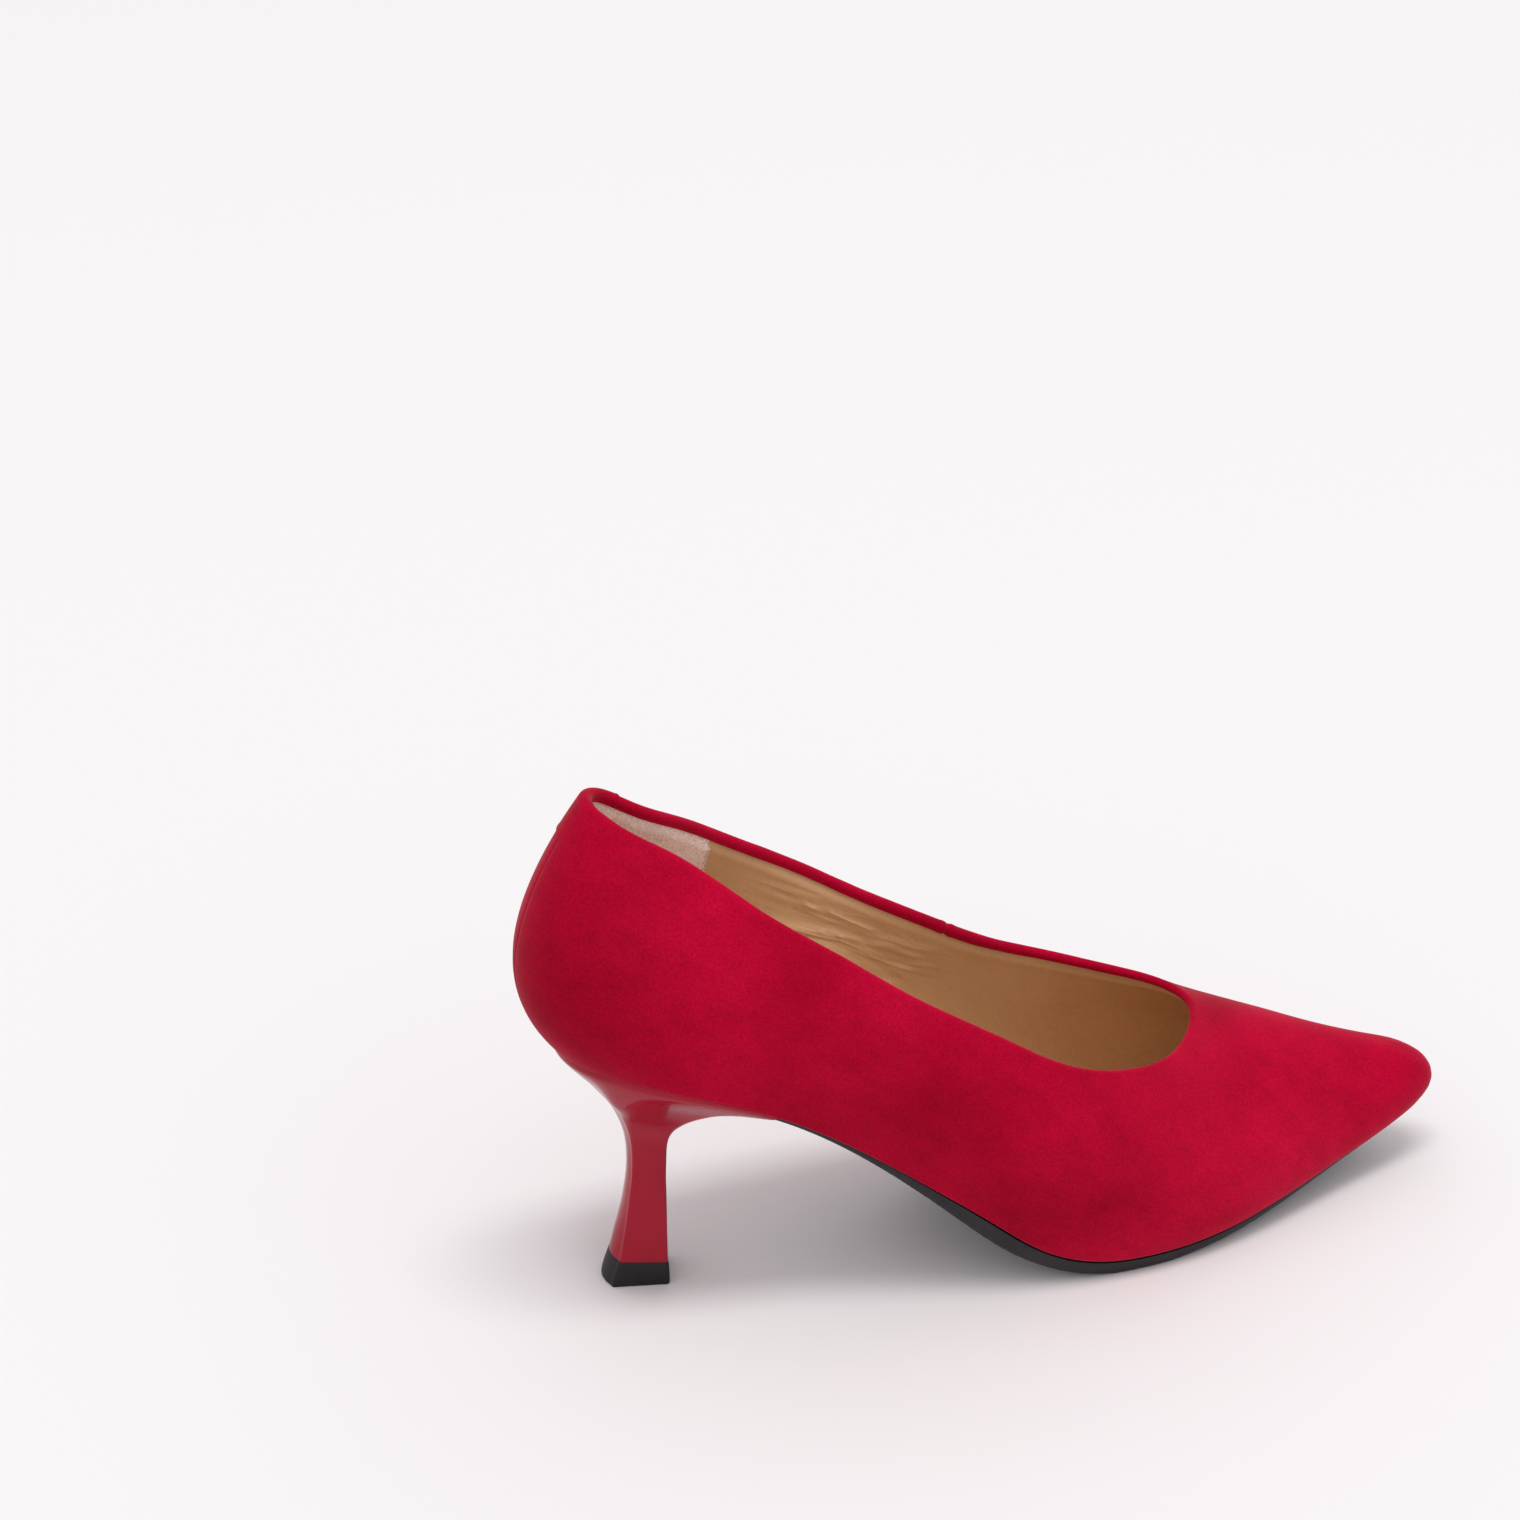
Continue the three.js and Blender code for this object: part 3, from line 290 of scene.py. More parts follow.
feather_height, foot_out = curve(FEATHER_HEIGHT), curve(FOOT_OUT)
foot_up, ridge_span = by_side(FOOT_UP), by_side(RIDGE_SPAN)
ridge_drop = curve(RIDGE_DROP)
ridge_x, ridge_y, ridge_z = curve(RIDGE_X), curve(RIDGE_Y), curve(RIDGE_Z)
topline_height = curve(TOPLINE)
skive, margin_width = line(SKIVE), line(MARGIN_WIDTH)
fold_radius, leaf_length = line(FOLD_RADII), line(LEAF_LENGTH)
outline, outline_knots = closed_curve([
    BACK, *((x, lateral) for x, lateral, _ in FEATHER_EDGE), TIP,
    *((x, medial) for x, _, medial in reversed(FEATHER_EDGE)),
])
_tip = outline_knots[len(FEATHER_EDGE) + 1]
REACH = {"lateral": _tip, "medial": _tip - outline_knots[-1]}

# the sheet ends lower than the topline, because the turned edge stands on it
_throat_drop = TOPLINE[-1][1] - float(ridge_z(THROAT_X))
edge_drop = curve([(-30, 1.15 * FOLD_RADIUS), (100, 1.2 * FOLD_RADIUS), (128, FOLD_RADIUS),
                   (THROAT_X, _throat_drop)])


def feather(side, u):
    """Points of the feather edge and the outward directions there; u runs from back to toe tip."""
    s = np.asarray(u, float) * REACH[side]
    along = unit(outline(s + 0.05) - outline(s - 0.05))
    return outline(s), np.stack([along[..., 1], -along[..., 0]], -1)


def first_u(side, x, along):
    """The u at which along(x of the feather edge) first reaches x."""
    x = np.asarray(x, float)
    return first_true(np.zeros(x.shape), np.ones(x.shape),
                      lambda u: along(feather(side, u)[0][..., 0]) >= x)


def u_at_ridge(side, x):
    return first_u(side, x, ridge_x)


def u_at_x(side, x):
    return first_u(side, x, lambda foot_x: foot_x)


def rib(side, u):
    """The four control points of each rib, from the feather edge to the ridge."""
    foot, out = feather(side, u)
    x = foot[..., 0]
    low = np.concatenate([foot, feather_height(x)[..., None]], -1)
    wall = low + np.concatenate([out * foot_out(x)[..., None], foot_up[side](x)[..., None]], -1)
    top_x = ridge_x(x)
    top = np.stack([top_x, ridge_y(top_x), ridge_z(top_x)], -1)
    span = ridge_span[side](x)
    lean = np.clip((x - RIB_LEAN[0]) / (RIB_LEAN[1] - RIB_LEAN[0]), 0, 1)
    slope = ridge_z(top_x + 0.5) - ridge_z(top_x - 0.5)
    along = out[..., 0] * span * slope * lean
    reach = np.concatenate([out * span[..., None], (along - ridge_drop(x))[..., None]], -1)
    return low, wall, top + reach, top


def on_rib(ribs, share):
    v = np.asarray(share)[..., None]
    a, b, c, d = ribs
    return a * (1 - v)**3 + 3 * b * v * (1 - v)**2 + 3 * c * v**2 * (1 - v) + d * v**3


def topline_share(ribs):
    """How far up each rib the sheet's upper edge is; 1 in front of the throat."""
    def above(share):
        point = on_rib(ribs, share)
        return point[..., 2] > topline_height(point[..., 0]) - edge_drop(point[..., 0])

    shape = ribs[0].shape[:-1]
    found = first_true(np.full(shape, TOPLINE_OVER), np.ones(shape), above)
    return np.where(ribs[3][..., 0] >= THROAT_X - 1e-6, 1.0, found)


def wall(side, u, w):
    """Points of the outer face: w is -1 at the feather edge, 0 at the board and 1 at the top."""
    ribs = rib(side, u)
    board = BOARD_LINE / (3 * foot_up[side](ribs[0][..., 0]))
    above = board + (topline_share(ribs) - board) * w
    return on_rib(ribs, np.where(w < 0, board * (1 + w), above))


def margin(side, u, inset, depth):
    """Points of the lasting margin, which is turned in under the foot."""
    foot, out = feather(side, u)
    p = foot - out * (margin_width(foot[..., 0]) * inset)[..., None]
    return np.concatenate([p, (feather_height(p[..., 0]) - depth * MARGIN_DEPTH)[..., None]], -1)


# ---- the wall's sheet

MARGIN_ROWS = [(1, 1), (0.7, 1), (0.4, 1), (0.2, 0.95), (0.1, 0.7), (0.04, 0.4)]
FOOT_ROWS = [-0.93, -0.8, -0.6, -0.4, -0.2]
WALL_STEPS = 50
ARC_STEPS = 10
LEAF_STEPS = 3
TAPE_ROWS = 6
FINE = (0, 0.18, 0.36, 0.56, 0.8, 1.1, 1.5, 2.1)      # millimetres from a seam


def spread(length, steps, fine_start, fine_end):
    """Shares from 0 to 1, with steps near an end that are fine enough for a seam."""
    start = [f / length for f in FINE] if fine_start else [0]
    end = [1 - f / length for f in reversed(FINE)] if fine_end else [1]
    middle = np.linspace(start[-1], end[0], steps + 1)[1:-1]
    return np.array([*start, *middle, *end])


BACK_SHARES = spread(46, 36, True, True)[:-1]
QUARTER_SHARES = spread(45, 36, True, True)[:-1]
THROAT_SHARES = spread(55, 44, True, False)[:-1]
TOE_RIDGE = np.concatenate([np.linspace(THROAT_X, 192, 46), [193.5, 195, 196.3, 197.4]])
TOE_SHARES = np.array([0.3, 0.55, 0.75, 0.9, 1.0])
GRIP_COLUMN = len(BACK_SHARES)
SEAM_COLUMN = GRIP_COLUMN + len(QUARTER_SHARES)
THROAT_COLUMN = SEAM_COLUMN + len(THROAT_SHARES)
WALL_W = np.concatenate([FOOT_ROWS, np.linspace(0, 1, WALL_STEPS + 1)])
BOARD_ROW = len(MARGIN_ROWS) + len(FOOT_ROWS)


def column_u(side, w):
    """The u of every column at every w, columns first."""
    rise = np.clip(w, 0, 1)
    seam = SIDE_SEAM[0] + (SIDE_SEAM[1] - SIDE_SEAM[0]) * rise
    throat = float(u_at_ridge(side, THROAT_X))
    back = BACK_SHARES[:, None] * GRIP_LENGTH * np.ones_like(rise)
    quarter = GRIP_LENGTH + QUARTER_SHARES[:, None] * (seam - GRIP_LENGTH)
    forward = seam + (1 - (1 - THROAT_SHARES[:, None])**2) * (throat - seam)
    toe = u_at_ridge(side, TOE_RIDGE)
    lateral_toe = u_at_ridge("lateral", TOE_RIDGE[-1])
    last = lateral_toe + TOE_SHARES * (1 - lateral_toe)
    if side == "medial":
        last = u_at_ridge(side, ridge_x(feather("lateral", last)[0][:, 0]))
        last[-1] = 1
    front = np.concatenate([toe, last])[:, None] * np.ones_like(rise)
    return np.concatenate([back, quarter, forward, front])


def cells_of(ids):
    """The four corners of every cell in a grid of ids."""
    return np.stack([ids[:-1, :-1], ids[1:, :-1], ids[1:, 1:], ids[:-1, 1:]], -1).reshape(-1, 4)


def smooth_normals(p, grids):
    n = np.zeros_like(p)
    for ids, flip in zip(grids, (1, -1)):
        a, b, c, d = cells_of(ids).T
        normal = flip * np.cross(p[c] - p[a], p[d] - p[b])
        for corner in (a, b, c, d):
            np.add.at(n, corner, normal)
    return unit(n)


def roll(edge, out, up, size, radius, leaf):
    """Rows of points and normals over the turned edge, then down the (depth, tuck) of its leaf."""
    centre = edge - out * size
    points, normals = [], []
    for k in range(1, ARC_STEPS + 1):
        turn = math.pi * k / ARC_STEPS
        direction = out * math.cos(turn) + up * math.sin(turn)
        share = min(1, 2 * k / ARC_STEPS)
        points.append(centre + direction * (radius * share + size * (1 - share)))
        normals.append(direction)
    for depth, tuck in leaf:
        points.append(points[ARC_STEPS - 1] - up * depth + out * tuck)
        normals.append(-out)
    return np.array(points), np.array(normals)


class Sheet:
    """The wall's outer face as welded points, normals, cells, and the turned edge on top."""

    def __init__(self):
        points = []
        for side in SIDES:
            u = column_u(side, WALL_W)
            above = wall(side, u, np.broadcast_to(WALL_W, u.shape))
            foot = column_u(side, np.zeros(1))[:, 0]
            below = [margin(side, foot, a, b) for a, b in MARGIN_ROWS]
            points.append(np.concatenate([np.stack(below, 1), above], 1))
        self.columns, self.rows = points[0].shape[:2]
        ids = np.arange(2 * self.columns * self.rows).reshape(2, self.columns, self.rows)
        ids[1, 0], ids[1, -1] = ids[0, 0], ids[0, -1]
        ids[1, THROAT_COLUMN:, -1] = ids[0, THROAT_COLUMN:, -1]
        p = np.concatenate([x.reshape(-1, 3) for x in points])
        n = smooth_normals(p, ids)
        self.loop = np.concatenate([ids[0, :THROAT_COLUMN + 1, -1],
                                    ids[1, THROAT_COLUMN - 1:0:-1, -1]])
        fold_p, fold_n = self.turned_edge(p[self.loop], n[self.loop])
        self.fold_start, self.fold_rows = len(p), len(fold_p)
        self.points, self.normals = np.concatenate([p, *fold_p]), np.concatenate([n, *fold_n])
        fold_ids = len(p) + np.arange(fold_p.size // 3).reshape(self.fold_rows, -1)
        pad = np.full((self.columns - THROAT_COLUMN - 1, self.fold_rows), -1)
        self.grid = {}
        for own, side, way in zip(ids, SIDES, (1, -1)):
            over = fold_ids[:, way * np.arange(THROAT_COLUMN + 1) % len(self.loop)].T
            self.grid[side] = np.concatenate([own, np.concatenate([over, pad])], 1)
        lines = {
            "edge": self.points[np.append(self.loop, self.loop[0])],
            "back": self.points[ids[0, 0]],
            "side": self.points[ids[1, SEAM_COLUMN]],
        }
        self.away = {name: distances(self.points, path) for name, path in lines.items()}

    def turned_edge(self, loop, out):
        """The rolled fold that the topline is turned into, with its leaf on the inside."""
        along = unit(np.roll(loop, -1, 0) - np.roll(loop, 1, 0))
        for _ in range(3):
            out = unit(out + (np.roll(out, 1, 0) + np.roll(out, -1, 0)) / 2)
        up = unit(np.cross(out, along))
        out = unit(np.cross(along, up))
        self.loop_frame = out, up
        size = fold_radius(loop[:, 0])
        ripple = np.array([noise.noise(Vector(q * RIPPLE["scale"])) for q in loop])
        radius = size * (1 + RIPPLE["size"] * ripple)
        for at in (0, len(loop) - SEAM_COLUMN):
            away = np.linalg.norm(loop - loop[at], axis=1)
            swell = NOTCH["swell"] * bell(away - NOTCH["swell_at"], NOTCH["swell_width"])
            radius *= 1 - NOTCH["depth"] * bell(away, NOTCH["width"]) + swell
        length = leaf_length(loop[:, 0])[:, None]
        shares = [k / LEAF_STEPS for k in range(1, LEAF_STEPS + 1)]
        leaf = [(length * share, LEAF_TUCK * share**3) for share in shares]
        return roll(loop, out, up, size[:, None], radius[:, None], leaf)

    def quads(self, side, columns, rows):
        cells = cells_of(self.grid[side][columns[0]:columns[1] + 1, rows[0]:rows[1] + 1])
        cells = cells[(cells >= 0).all(1)]
        return cells if side == "lateral" else cells[:, ::-1]


def tree_of(points):
    """A search tree that finds the nearest of the points."""
    tree = kdtree.KDTree(len(points))
    for i, q in enumerate(points):
        tree.insert(q, i)
    tree.balance()
    return tree


def distances(points, path, step=0.25):
    """How far each point is from a path, in millimetres."""
    dense = [path[:1]]
    for a, b in zip(path[:-1], path[1:]):
        count = max(1, int(np.linalg.norm(b - a) / step))
        share = np.arange(1, count + 1)[:, None] / count
        dense.append(a + (b - a) * share)
    tree = tree_of(np.concatenate(dense))
    return np.array([tree.find(q)[2] for q in points])


# ---- meshes


def shell(outer, inner, quads):
    """Closed mesh between two faces that share their cells: (points, faces)."""
    count = len(outer)
    edges = np.concatenate([quads[:, [i, (i + 1) % 4]] for i in range(4)])
    edges = edges[edges[:, 0] != edges[:, 1]]
    known = set(map(tuple, edges.tolist()))
    rim = [(b, a, a + count, b + count) for a, b in known if (b, a) not in known]
    faces = [*quads.tolist(), *(quads[:, ::-1] + count).tolist(), *sorted(rim)]
    return np.concatenate([outer, inner]), faces


def loft(rings):
    """Closed mesh through rings of points, ends closed by one face each."""
    count, size = len(rings), len(rings[0])
    faces = []
    for i in range(count - 1):
        for j in range(size):
            k = (j + 1) % size
            faces.append((i * size + j, i * size + k, (i + 1) * size + k, (i + 1) * size + j))
    faces.append(tuple(range(size - 1, -1, -1)))
    faces.append(tuple(range((count - 1) * size, count * size)))
    return np.concatenate(rings), faces


def join(parts):
    """One mesh of several (points, faces)."""
    points, faces, count = [], [], 0
    for part_points, part_faces in parts:
        points.append(part_points)
        faces += [tuple(i + count for i in face) for face in part_faces]
        count += len(part_points)
    return np.concatenate(points), faces


def add_object(name, data):
    thing = bpy.data.objects.new(name, data)
    bpy.context.scene.collection.objects.link(thing)
    return thing


def make(name, points, faces, material, node=None, slot=None, sharp=38):
    """A piece from points in millimetres in the last's frame, riding on the shoe."""
    mesh = bpy.data.meshes.new(name)
    work = bmesh.new()
    used = sorted({i for face in faces for i in face})
    verts = {i: work.verts.new((points[i] + SHIFT) * MM) for i in used}
    for face in faces:
        corners = list(dict.fromkeys(face))
        if len(corners) > 2:
            try:
                work.faces.new([verts[i] for i in corners])
            except ValueError:      # two cells that end in the same point share a rim face
                continue
    bmesh.ops.remove_doubles(work, verts=work.verts, dist=2e-6)
    bmesh.ops.recalc_face_normals(work, faces=work.faces)
    work.to_mesh(mesh)
    work.free()
    mesh.shade_smooth()
    mesh.set_sharp_from_angle(angle=math.radians(sharp))
    mesh.materials.append(material)
    piece = add_object(name, mesh)
    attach(piece, BODY)
    if node:
        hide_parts(node)
    return piece


# ---- materials


class Paint:
    """A node material that is built up step by step."""

    def __init__(self, name, **values):
        self.material = bpy.data.materials.new(name)
        self.material.use_nodes = True
        self.tree = self.material.node_tree
        self.shader = self.tree.nodes["Principled BSDF"]
        self.place = self.node("ShaderNodeTexCoord", "Object", {})
        for key, value in values.items():
            self.shader.inputs[key.replace("_", " ")].default_value = value

    def node(self, kind, output, inputs, **settings):
        """A new node's output; each input is a value or another node's output."""
        node = self.tree.nodes.new(kind)
        for key, value in settings.items():
            setattr(node, key, value)
        for socket, value in inputs.items():
            if isinstance(value, bpy.types.NodeSocket):
                self.tree.links.new(value, node.inputs[socket])
            else:
                node.inputs[socket].default_value = value
        return node.outputs[output]

    def noise(self, scale, detail=4, roughness=0.55, stretch=None, turn=(0, 0, 0), distortion=0.0):
        """Noise by place in the shoe; scale is in cells per metre."""
        place = self.mapped(scale=stretch, turn=turn) if stretch else self.place
        return self.node("ShaderNodeTexNoise", "Fac", {
            "Vector": place, "Scale": scale, "Detail": detail, "Roughness": roughness,
            "Distortion": distortion,
        })

    def mapped(self, place=(0, 0, 0), scale=(1, 1, 1), turn=(0, 0, 0)):
        """The shoe's coordinates in a frame of their own."""
        inputs = {"Vector": self.place, "Location": place, "Rotation": turn, "Scale": scale}
        return self.node("ShaderNodeMapping", "Vector", inputs, vector_type="TEXTURE")

    def near(self, place, reach):
        """1 at a place in the last's frame, and 0 beyond its reach, both in millimetres."""
        there = self.mapped((np.array(place) + SHIFT) * MM, np.array(reach) * MM)
        return self.node("ShaderNodeTexGradient", "Fac", {"Vector": there}, gradient_type="SPHERICAL")

    def cells(self, scale):
        return self.node("ShaderNodeTexVoronoi", "Distance", {"Vector": self.place, "Scale": scale})

    def ramp(self, source, *stops):
        colour = self.node("ShaderNodeValToRGB", "Color", {"Fac": source})
        elements = colour.node.color_ramp.elements
        while len(elements) < len(stops):
            elements.new(0.5)
        for element, (at, stop) in zip(elements, stops):
            element.position = at
            element.color = (*stop, 1)
        return colour

    def times(self, a, b):
        return self.node("ShaderNodeMath", "Value", {0: a, 1: b}, operation="MULTIPLY")

    def tinted(self, colour, tint, share):
        """A colour multiplied by another, by a share."""
        inputs = {0: share, 6: colour, 7: tint}
        return self.node("ShaderNodeMix", 2, inputs, data_type="RGBA", blend_type="MULTIPLY")

    def span(self, source, low, high):
        """A number from 0 to 1 moved to low to high."""
        inputs = {"Value": source, "To Min": low, "To Max": high}
        return self.node("ShaderNodeMapRange", "Result", inputs)

    def bump(self, source, strength, distance, under=None):
        """Normals of a relief that is a distance in millimetres high, over those under it."""
        inputs = {"Height": source, "Strength": strength, "Distance": distance * MM}
        if under is not None:
            inputs["Normal"] = under
        return self.node("ShaderNodeBump", "Normal", inputs)

    def done(self, colour, roughness, normal):
        for socket, value in (("Base Color", colour), ("Roughness", roughness), ("Normal", normal)):
            self.tree.links.new(value, self.shader.inputs[socket])
        return self.material


def suede(name, dark, base, light, pale, flecks, painted_shade=()):
    """Napped leather: broad patches of tone, brushed strokes, short fibres and a soft sheen at grazing
    angles, with painted shade that darkens the colour round the given places.
    """
    paint = Paint(name, Roughness=0.95, Specular_IOR_Level=0.05, Sheen_Weight=0.22,
                  Sheen_Roughness=0.35, Sheen_Tint=(*pale, 1))
    patches = paint.noise(22, 3, 0.55, distortion=0.4)
    strokes = paint.noise(120, 6, 0.68, stretch=(1, 1, 0.55), turn=(0, 0.6, 0))
    fibres = paint.noise(1800, 3, 0.75)
    colour = paint.ramp(patches, (0.25, dark), (0.5, base), (0.75, light))
    stroked = paint.ramp(strokes, (0.28, (0.84, 0.84, 0.84)), (0.5, (0.97, 1, 1)),
                         (0.74, (1.06, 1.15, 1.1)))
    fleck = paint.ramp(fibres, (0.3, flecks[0]), (0.5, (0.97, 1, 1)), (0.7, flecks[1]))
    colour = paint.tinted(paint.tinted(colour, stroked, 1.0), fleck, 1.0)
    # painted shade: the colour is multiplied darker by each tone round its place, fading out to its
    # reach
    for place, reach, tone in painted_shade:
        colour = paint.tinted(colour, (*tone, 1), paint.near(place, reach))
    normal = paint.bump(fibres, 0.4, 0.12, paint.bump(strokes, 0.2, 0.2))
    return paint.done(colour, paint.span(fibres, 0.85, 1.0), normal)


def smooth_leather(name, dark, base, light, wrinkled=False):
    """Fine grain leather with faint pores, a slow change of tone and soft wrinkles at the waist."""
    paint = Paint(name, Roughness=0.5, Specular_IOR_Level=0.4, Sheen_Weight=0.12)
    tone = paint.noise(22, 3, 0.5)
    grain = paint.cells(1900)
    pores = paint.noise(900, 4, 0.65)
    colour = paint.ramp(tone, (0.3, dark), (0.5, base), (0.7, light))
    speck = paint.ramp(pores, (0.3, (0.9, 0.88, 0.85)), (0.55, (1, 1, 1)))
    colour = paint.tinted(colour, speck, 0.7)
    normal = paint.bump(pores, 0.25, 0.08, paint.bump(grain, 0.18, 0.06))
    if wrinkled:
        folds = paint.noise(190, 2, 0.45, stretch=(6, 6, 1), turn=(0, FOLDS["slope"], 0),
                            distortion=0.5)
        ridges = paint.ramp(folds, (0.34, (0, 0, 0)), (0.5, (1, 1, 1)), (0.66, (0, 0, 0)))
        for place, reach in FOLDS["places"]:
            normal = paint.bump(paint.times(ridges, paint.near(place, reach)), 0.7, 0.6, normal)
    return paint.done(colour, paint.span(pores, 0.4, 0.58), normal)


def lacquer():
    """Glossy red lacquer over a moulded heel, with a very slight orange peel."""
    paint = Paint("red_lacquer", Roughness=0.3, Coat_Weight=0.28, Coat_Roughness=0.06,
                  Specular_IOR_Level=0.12)
    tone = paint.noise(60, 2)
    peel = paint.noise(420, 2, 0.4)
    colour = paint.ramp(tone, (0.35, (0.3, 0.0, 0.014)), (0.65, (0.36, 0.0, 0.018)))
    return paint.done(colour, paint.span(peel, 0.16, 0.26), paint.bump(peel, 0.05, 0.05))


def black_rubber(name, low, high, roughness, grain):
    """Moulded black rubber: fine grain and faint dusty patches."""
    paint = Paint(name, Specular_IOR_Level=0.36)
    dust = paint.noise(90, 5, 0.65)
    fine = paint.noise(grain, 4, 0.6)
    colour = paint.ramp(dust, (0.35, (low, low * 0.86, low * 1.15)),
                        (0.7, (high, high * 0.9, high * 1.12)))
    return paint.done(colour, paint.span(dust, *roughness), paint.bump(fine, 0.3, 0.06))


def plain_stuff(name, dark, light, scale, roughness, depth, metal=0.0, stretch=None):
    """Board, sheet, tape, foam, cork or steel, by the size and depth of its grain."""
    paint = Paint(name, Metallic=metal)
    grain = paint.noise(scale, 6, 0.7, stretch=stretch)
    specks = paint.cells(scale * 1.7)
    colour = paint.ramp(grain, (0.32, dark), (0.68, light))
    normal = paint.bump(specks, 0.4, depth, paint.bump(grain, 0.5, depth))
    return paint.done(colour, paint.span(grain, *roughness), normal)


SUEDE = suede(
    "red_suede", (0.36, 0.0, 0.016), (0.48, 0.0008, 0.026), (0.57, 0.002, 0.034), (1.0, 0.5, 0.55),
    ((0.74, 0.66, 0.7), (1.16, 2.4, 1.5)),
    # painted shade: darker over the back above the heel and on the lower sides towards the sole
    painted_shade=(((-16, -14, 84), (34, 30, 60), (0.62, 0.4, 0.55)),
             ((40, -26, 52), (60, 16, 24), (0.8, 0.6, 0.75)),
             ((96, -36, 22), (46, 20, 24), (0.72, 0.5, 0.65)),
             ((-16, 14, 84), (34, 30, 60), (0.7, 0.5, 0.6)),
             ((96, 40, 22), (50, 20, 26), (0.75, 0.5, 0.65))),
)
GRIP_SUEDE = suede(
    "grip_suede", (0.85, 0.6, 0.52), (0.94, 0.7, 0.61), (0.97, 0.75, 0.67), (1.0, 0.9, 0.84),
    ((0.66, 0.63, 0.62), (1.2, 1.22, 1.22)),
)
LINING_LEATHER = smooth_leather(
    "lining_leather", (0.57, 0.32, 0.143), (0.64, 0.375, 0.18), (0.69, 0.415, 0.208), wrinkled=True,
)
SOCK_LEATHER = smooth_leather("sock_leather", (0.56, 0.33, 0.15), (0.62, 0.38, 0.18), (0.67, 0.42, 0.21))
LACQUER = lacquer()
SOLE_RUBBER = black_rubber("sole_rubber", 0.008, 0.02, (0.36, 0.55), 1400)
LIFT_RUBBER = black_rubber("lift_rubber", 0.004, 0.01, (0.42, 0.6), 900)
THREAD_TAN = plain_stuff("tan_thread", (0.5, 0.36, 0.24), (0.72, 0.58, 0.42), 2500, (0.5, 0.7), 0.05)
FIBRE_BOARD = plain_stuff("fibre_board", (0.26, 0.2, 0.13), (0.4, 0.32, 0.22), 700, (0.8, 0.95), 0.1)
STIFFENER = plain_stuff("stiffener_sheet", (0.6, 0.57, 0.5), (0.74, 0.71, 0.64), 1100, (0.8, 0.95), 0.08)
WEBBING = plain_stuff("webbing", (0.7, 0.68, 0.62), (0.86, 0.84, 0.8), 1500, (0.8, 0.95), 0.1,
                      stretch=(1, 1, 4))
FOAM = plain_stuff("latex_foam", (0.7, 0.62, 0.36), (0.82, 0.75, 0.5), 1300, (0.85, 1.0), 0.15)
CORK = plain_stuff("cork", (0.2, 0.12, 0.06), (0.46, 0.32, 0.18), 420, (0.85, 1.0), 0.15)
STEEL = plain_stuff("steel", (0.45, 0.46, 0.48), (0.62, 0.63, 0.65), 900, (0.25, 0.42), 0.02,
                    metal=1.0, stretch=(10, 1, 1))


# ---- the upper


def unevenness(points, height, scale, seed):
    """Slow unevenness of a surface, up or down by height."""
    offset = Vector((seed, seed * 0.7, -seed))
    return height * np.array([noise.noise(Vector(p * scale) + offset) for p in points])


def make_upper(sheet):
    p, n = sheet.points, sheet.normals
    height = sum(depth * bell(sheet.away[seam], SEAM_WIDTH) for seam, depth in SEAM_DEPTH.items())
    height[sheet.fold_start:] = 0
    height -= unevenness(p, *UPPER_UNEVEN) * np.minimum(1, sheet.away["edge"] / 6)
    outer = p - n * height[:, None]
    thickness = np.full(len(p), UPPER_THICKNESS)
    fold = len(sheet.loop)
    for k in range(sheet.fold_rows):
        share = min(1, (k + 1) / ARC_STEPS)
        start = sheet.fold_start + k * fold
        thickness[start:start + fold] += (FOLD_THICKNESS - UPPER_THICKNESS) * share
    inner = outer - n * ((thickness - height * 0.5) * skive(p[:, 0]))[:, None]
    rows = (0, sheet.rows + sheet.fold_rows - 1)
    front = (SEAM_COLUMN, sheet.columns - 1)
    vamp = np.concatenate([
        sheet.quads("lateral", (0, sheet.columns - 1), rows), sheet.quads("medial", front, rows),
    ])
    make("vamp_suede", *join([shell(outer, inner, vamp), tab_shell(sheet)]), SUEDE, "vamp", "suede")
    quarter = sheet.quads("medial", (0, SEAM_COLUMN), rows)
    make("medial_quarter_suede", *shell(outer, inner, quarter), SUEDE, "medial_quarter", "suede")


def tab_places():
    """Shares of the tab's length, denser round its corner, and the share of the wall at its foot."""
    corner = 1 - TAB["corner"] / TAB["length"]
    rounded = np.linspace(0, math.pi / 2, 14)
    shares = np.concatenate([
        np.linspace(-TAB["back"], 0, 8)[:-1], np.linspace(0, corner, 14)[:-1],
        corner + (1 - corner) * np.sin(rounded),
    ])
    straight = TAB["straight"] / TAB["height"]
    turn = np.clip((shares - corner) / (1 - corner), 0, 1)
    height = straight + (1 - straight) * np.sqrt(np.maximum(0, 1 - turn**2))
    return shares, 1 - (1 - TAB["foot"]) * height


def beside_edge(sheet, points):
    """The turned edge's outward and upward directions beside the points."""
    tree = tree_of(sheet.points[sheet.loop])
    frames = []
    for q in points:
        found = tree.find_n(q, 2)
        weights = np.array([1 / (f[2] + 1e-6) for f in found])
        weights /= weights.sum()
        frames.append([sum(w * v[f[1]] for w, f in zip(weights, found)) for v in sheet.loop_frame])
    return [unit(np.array([frame[i] for frame in frames])) for i in (0, 1)]


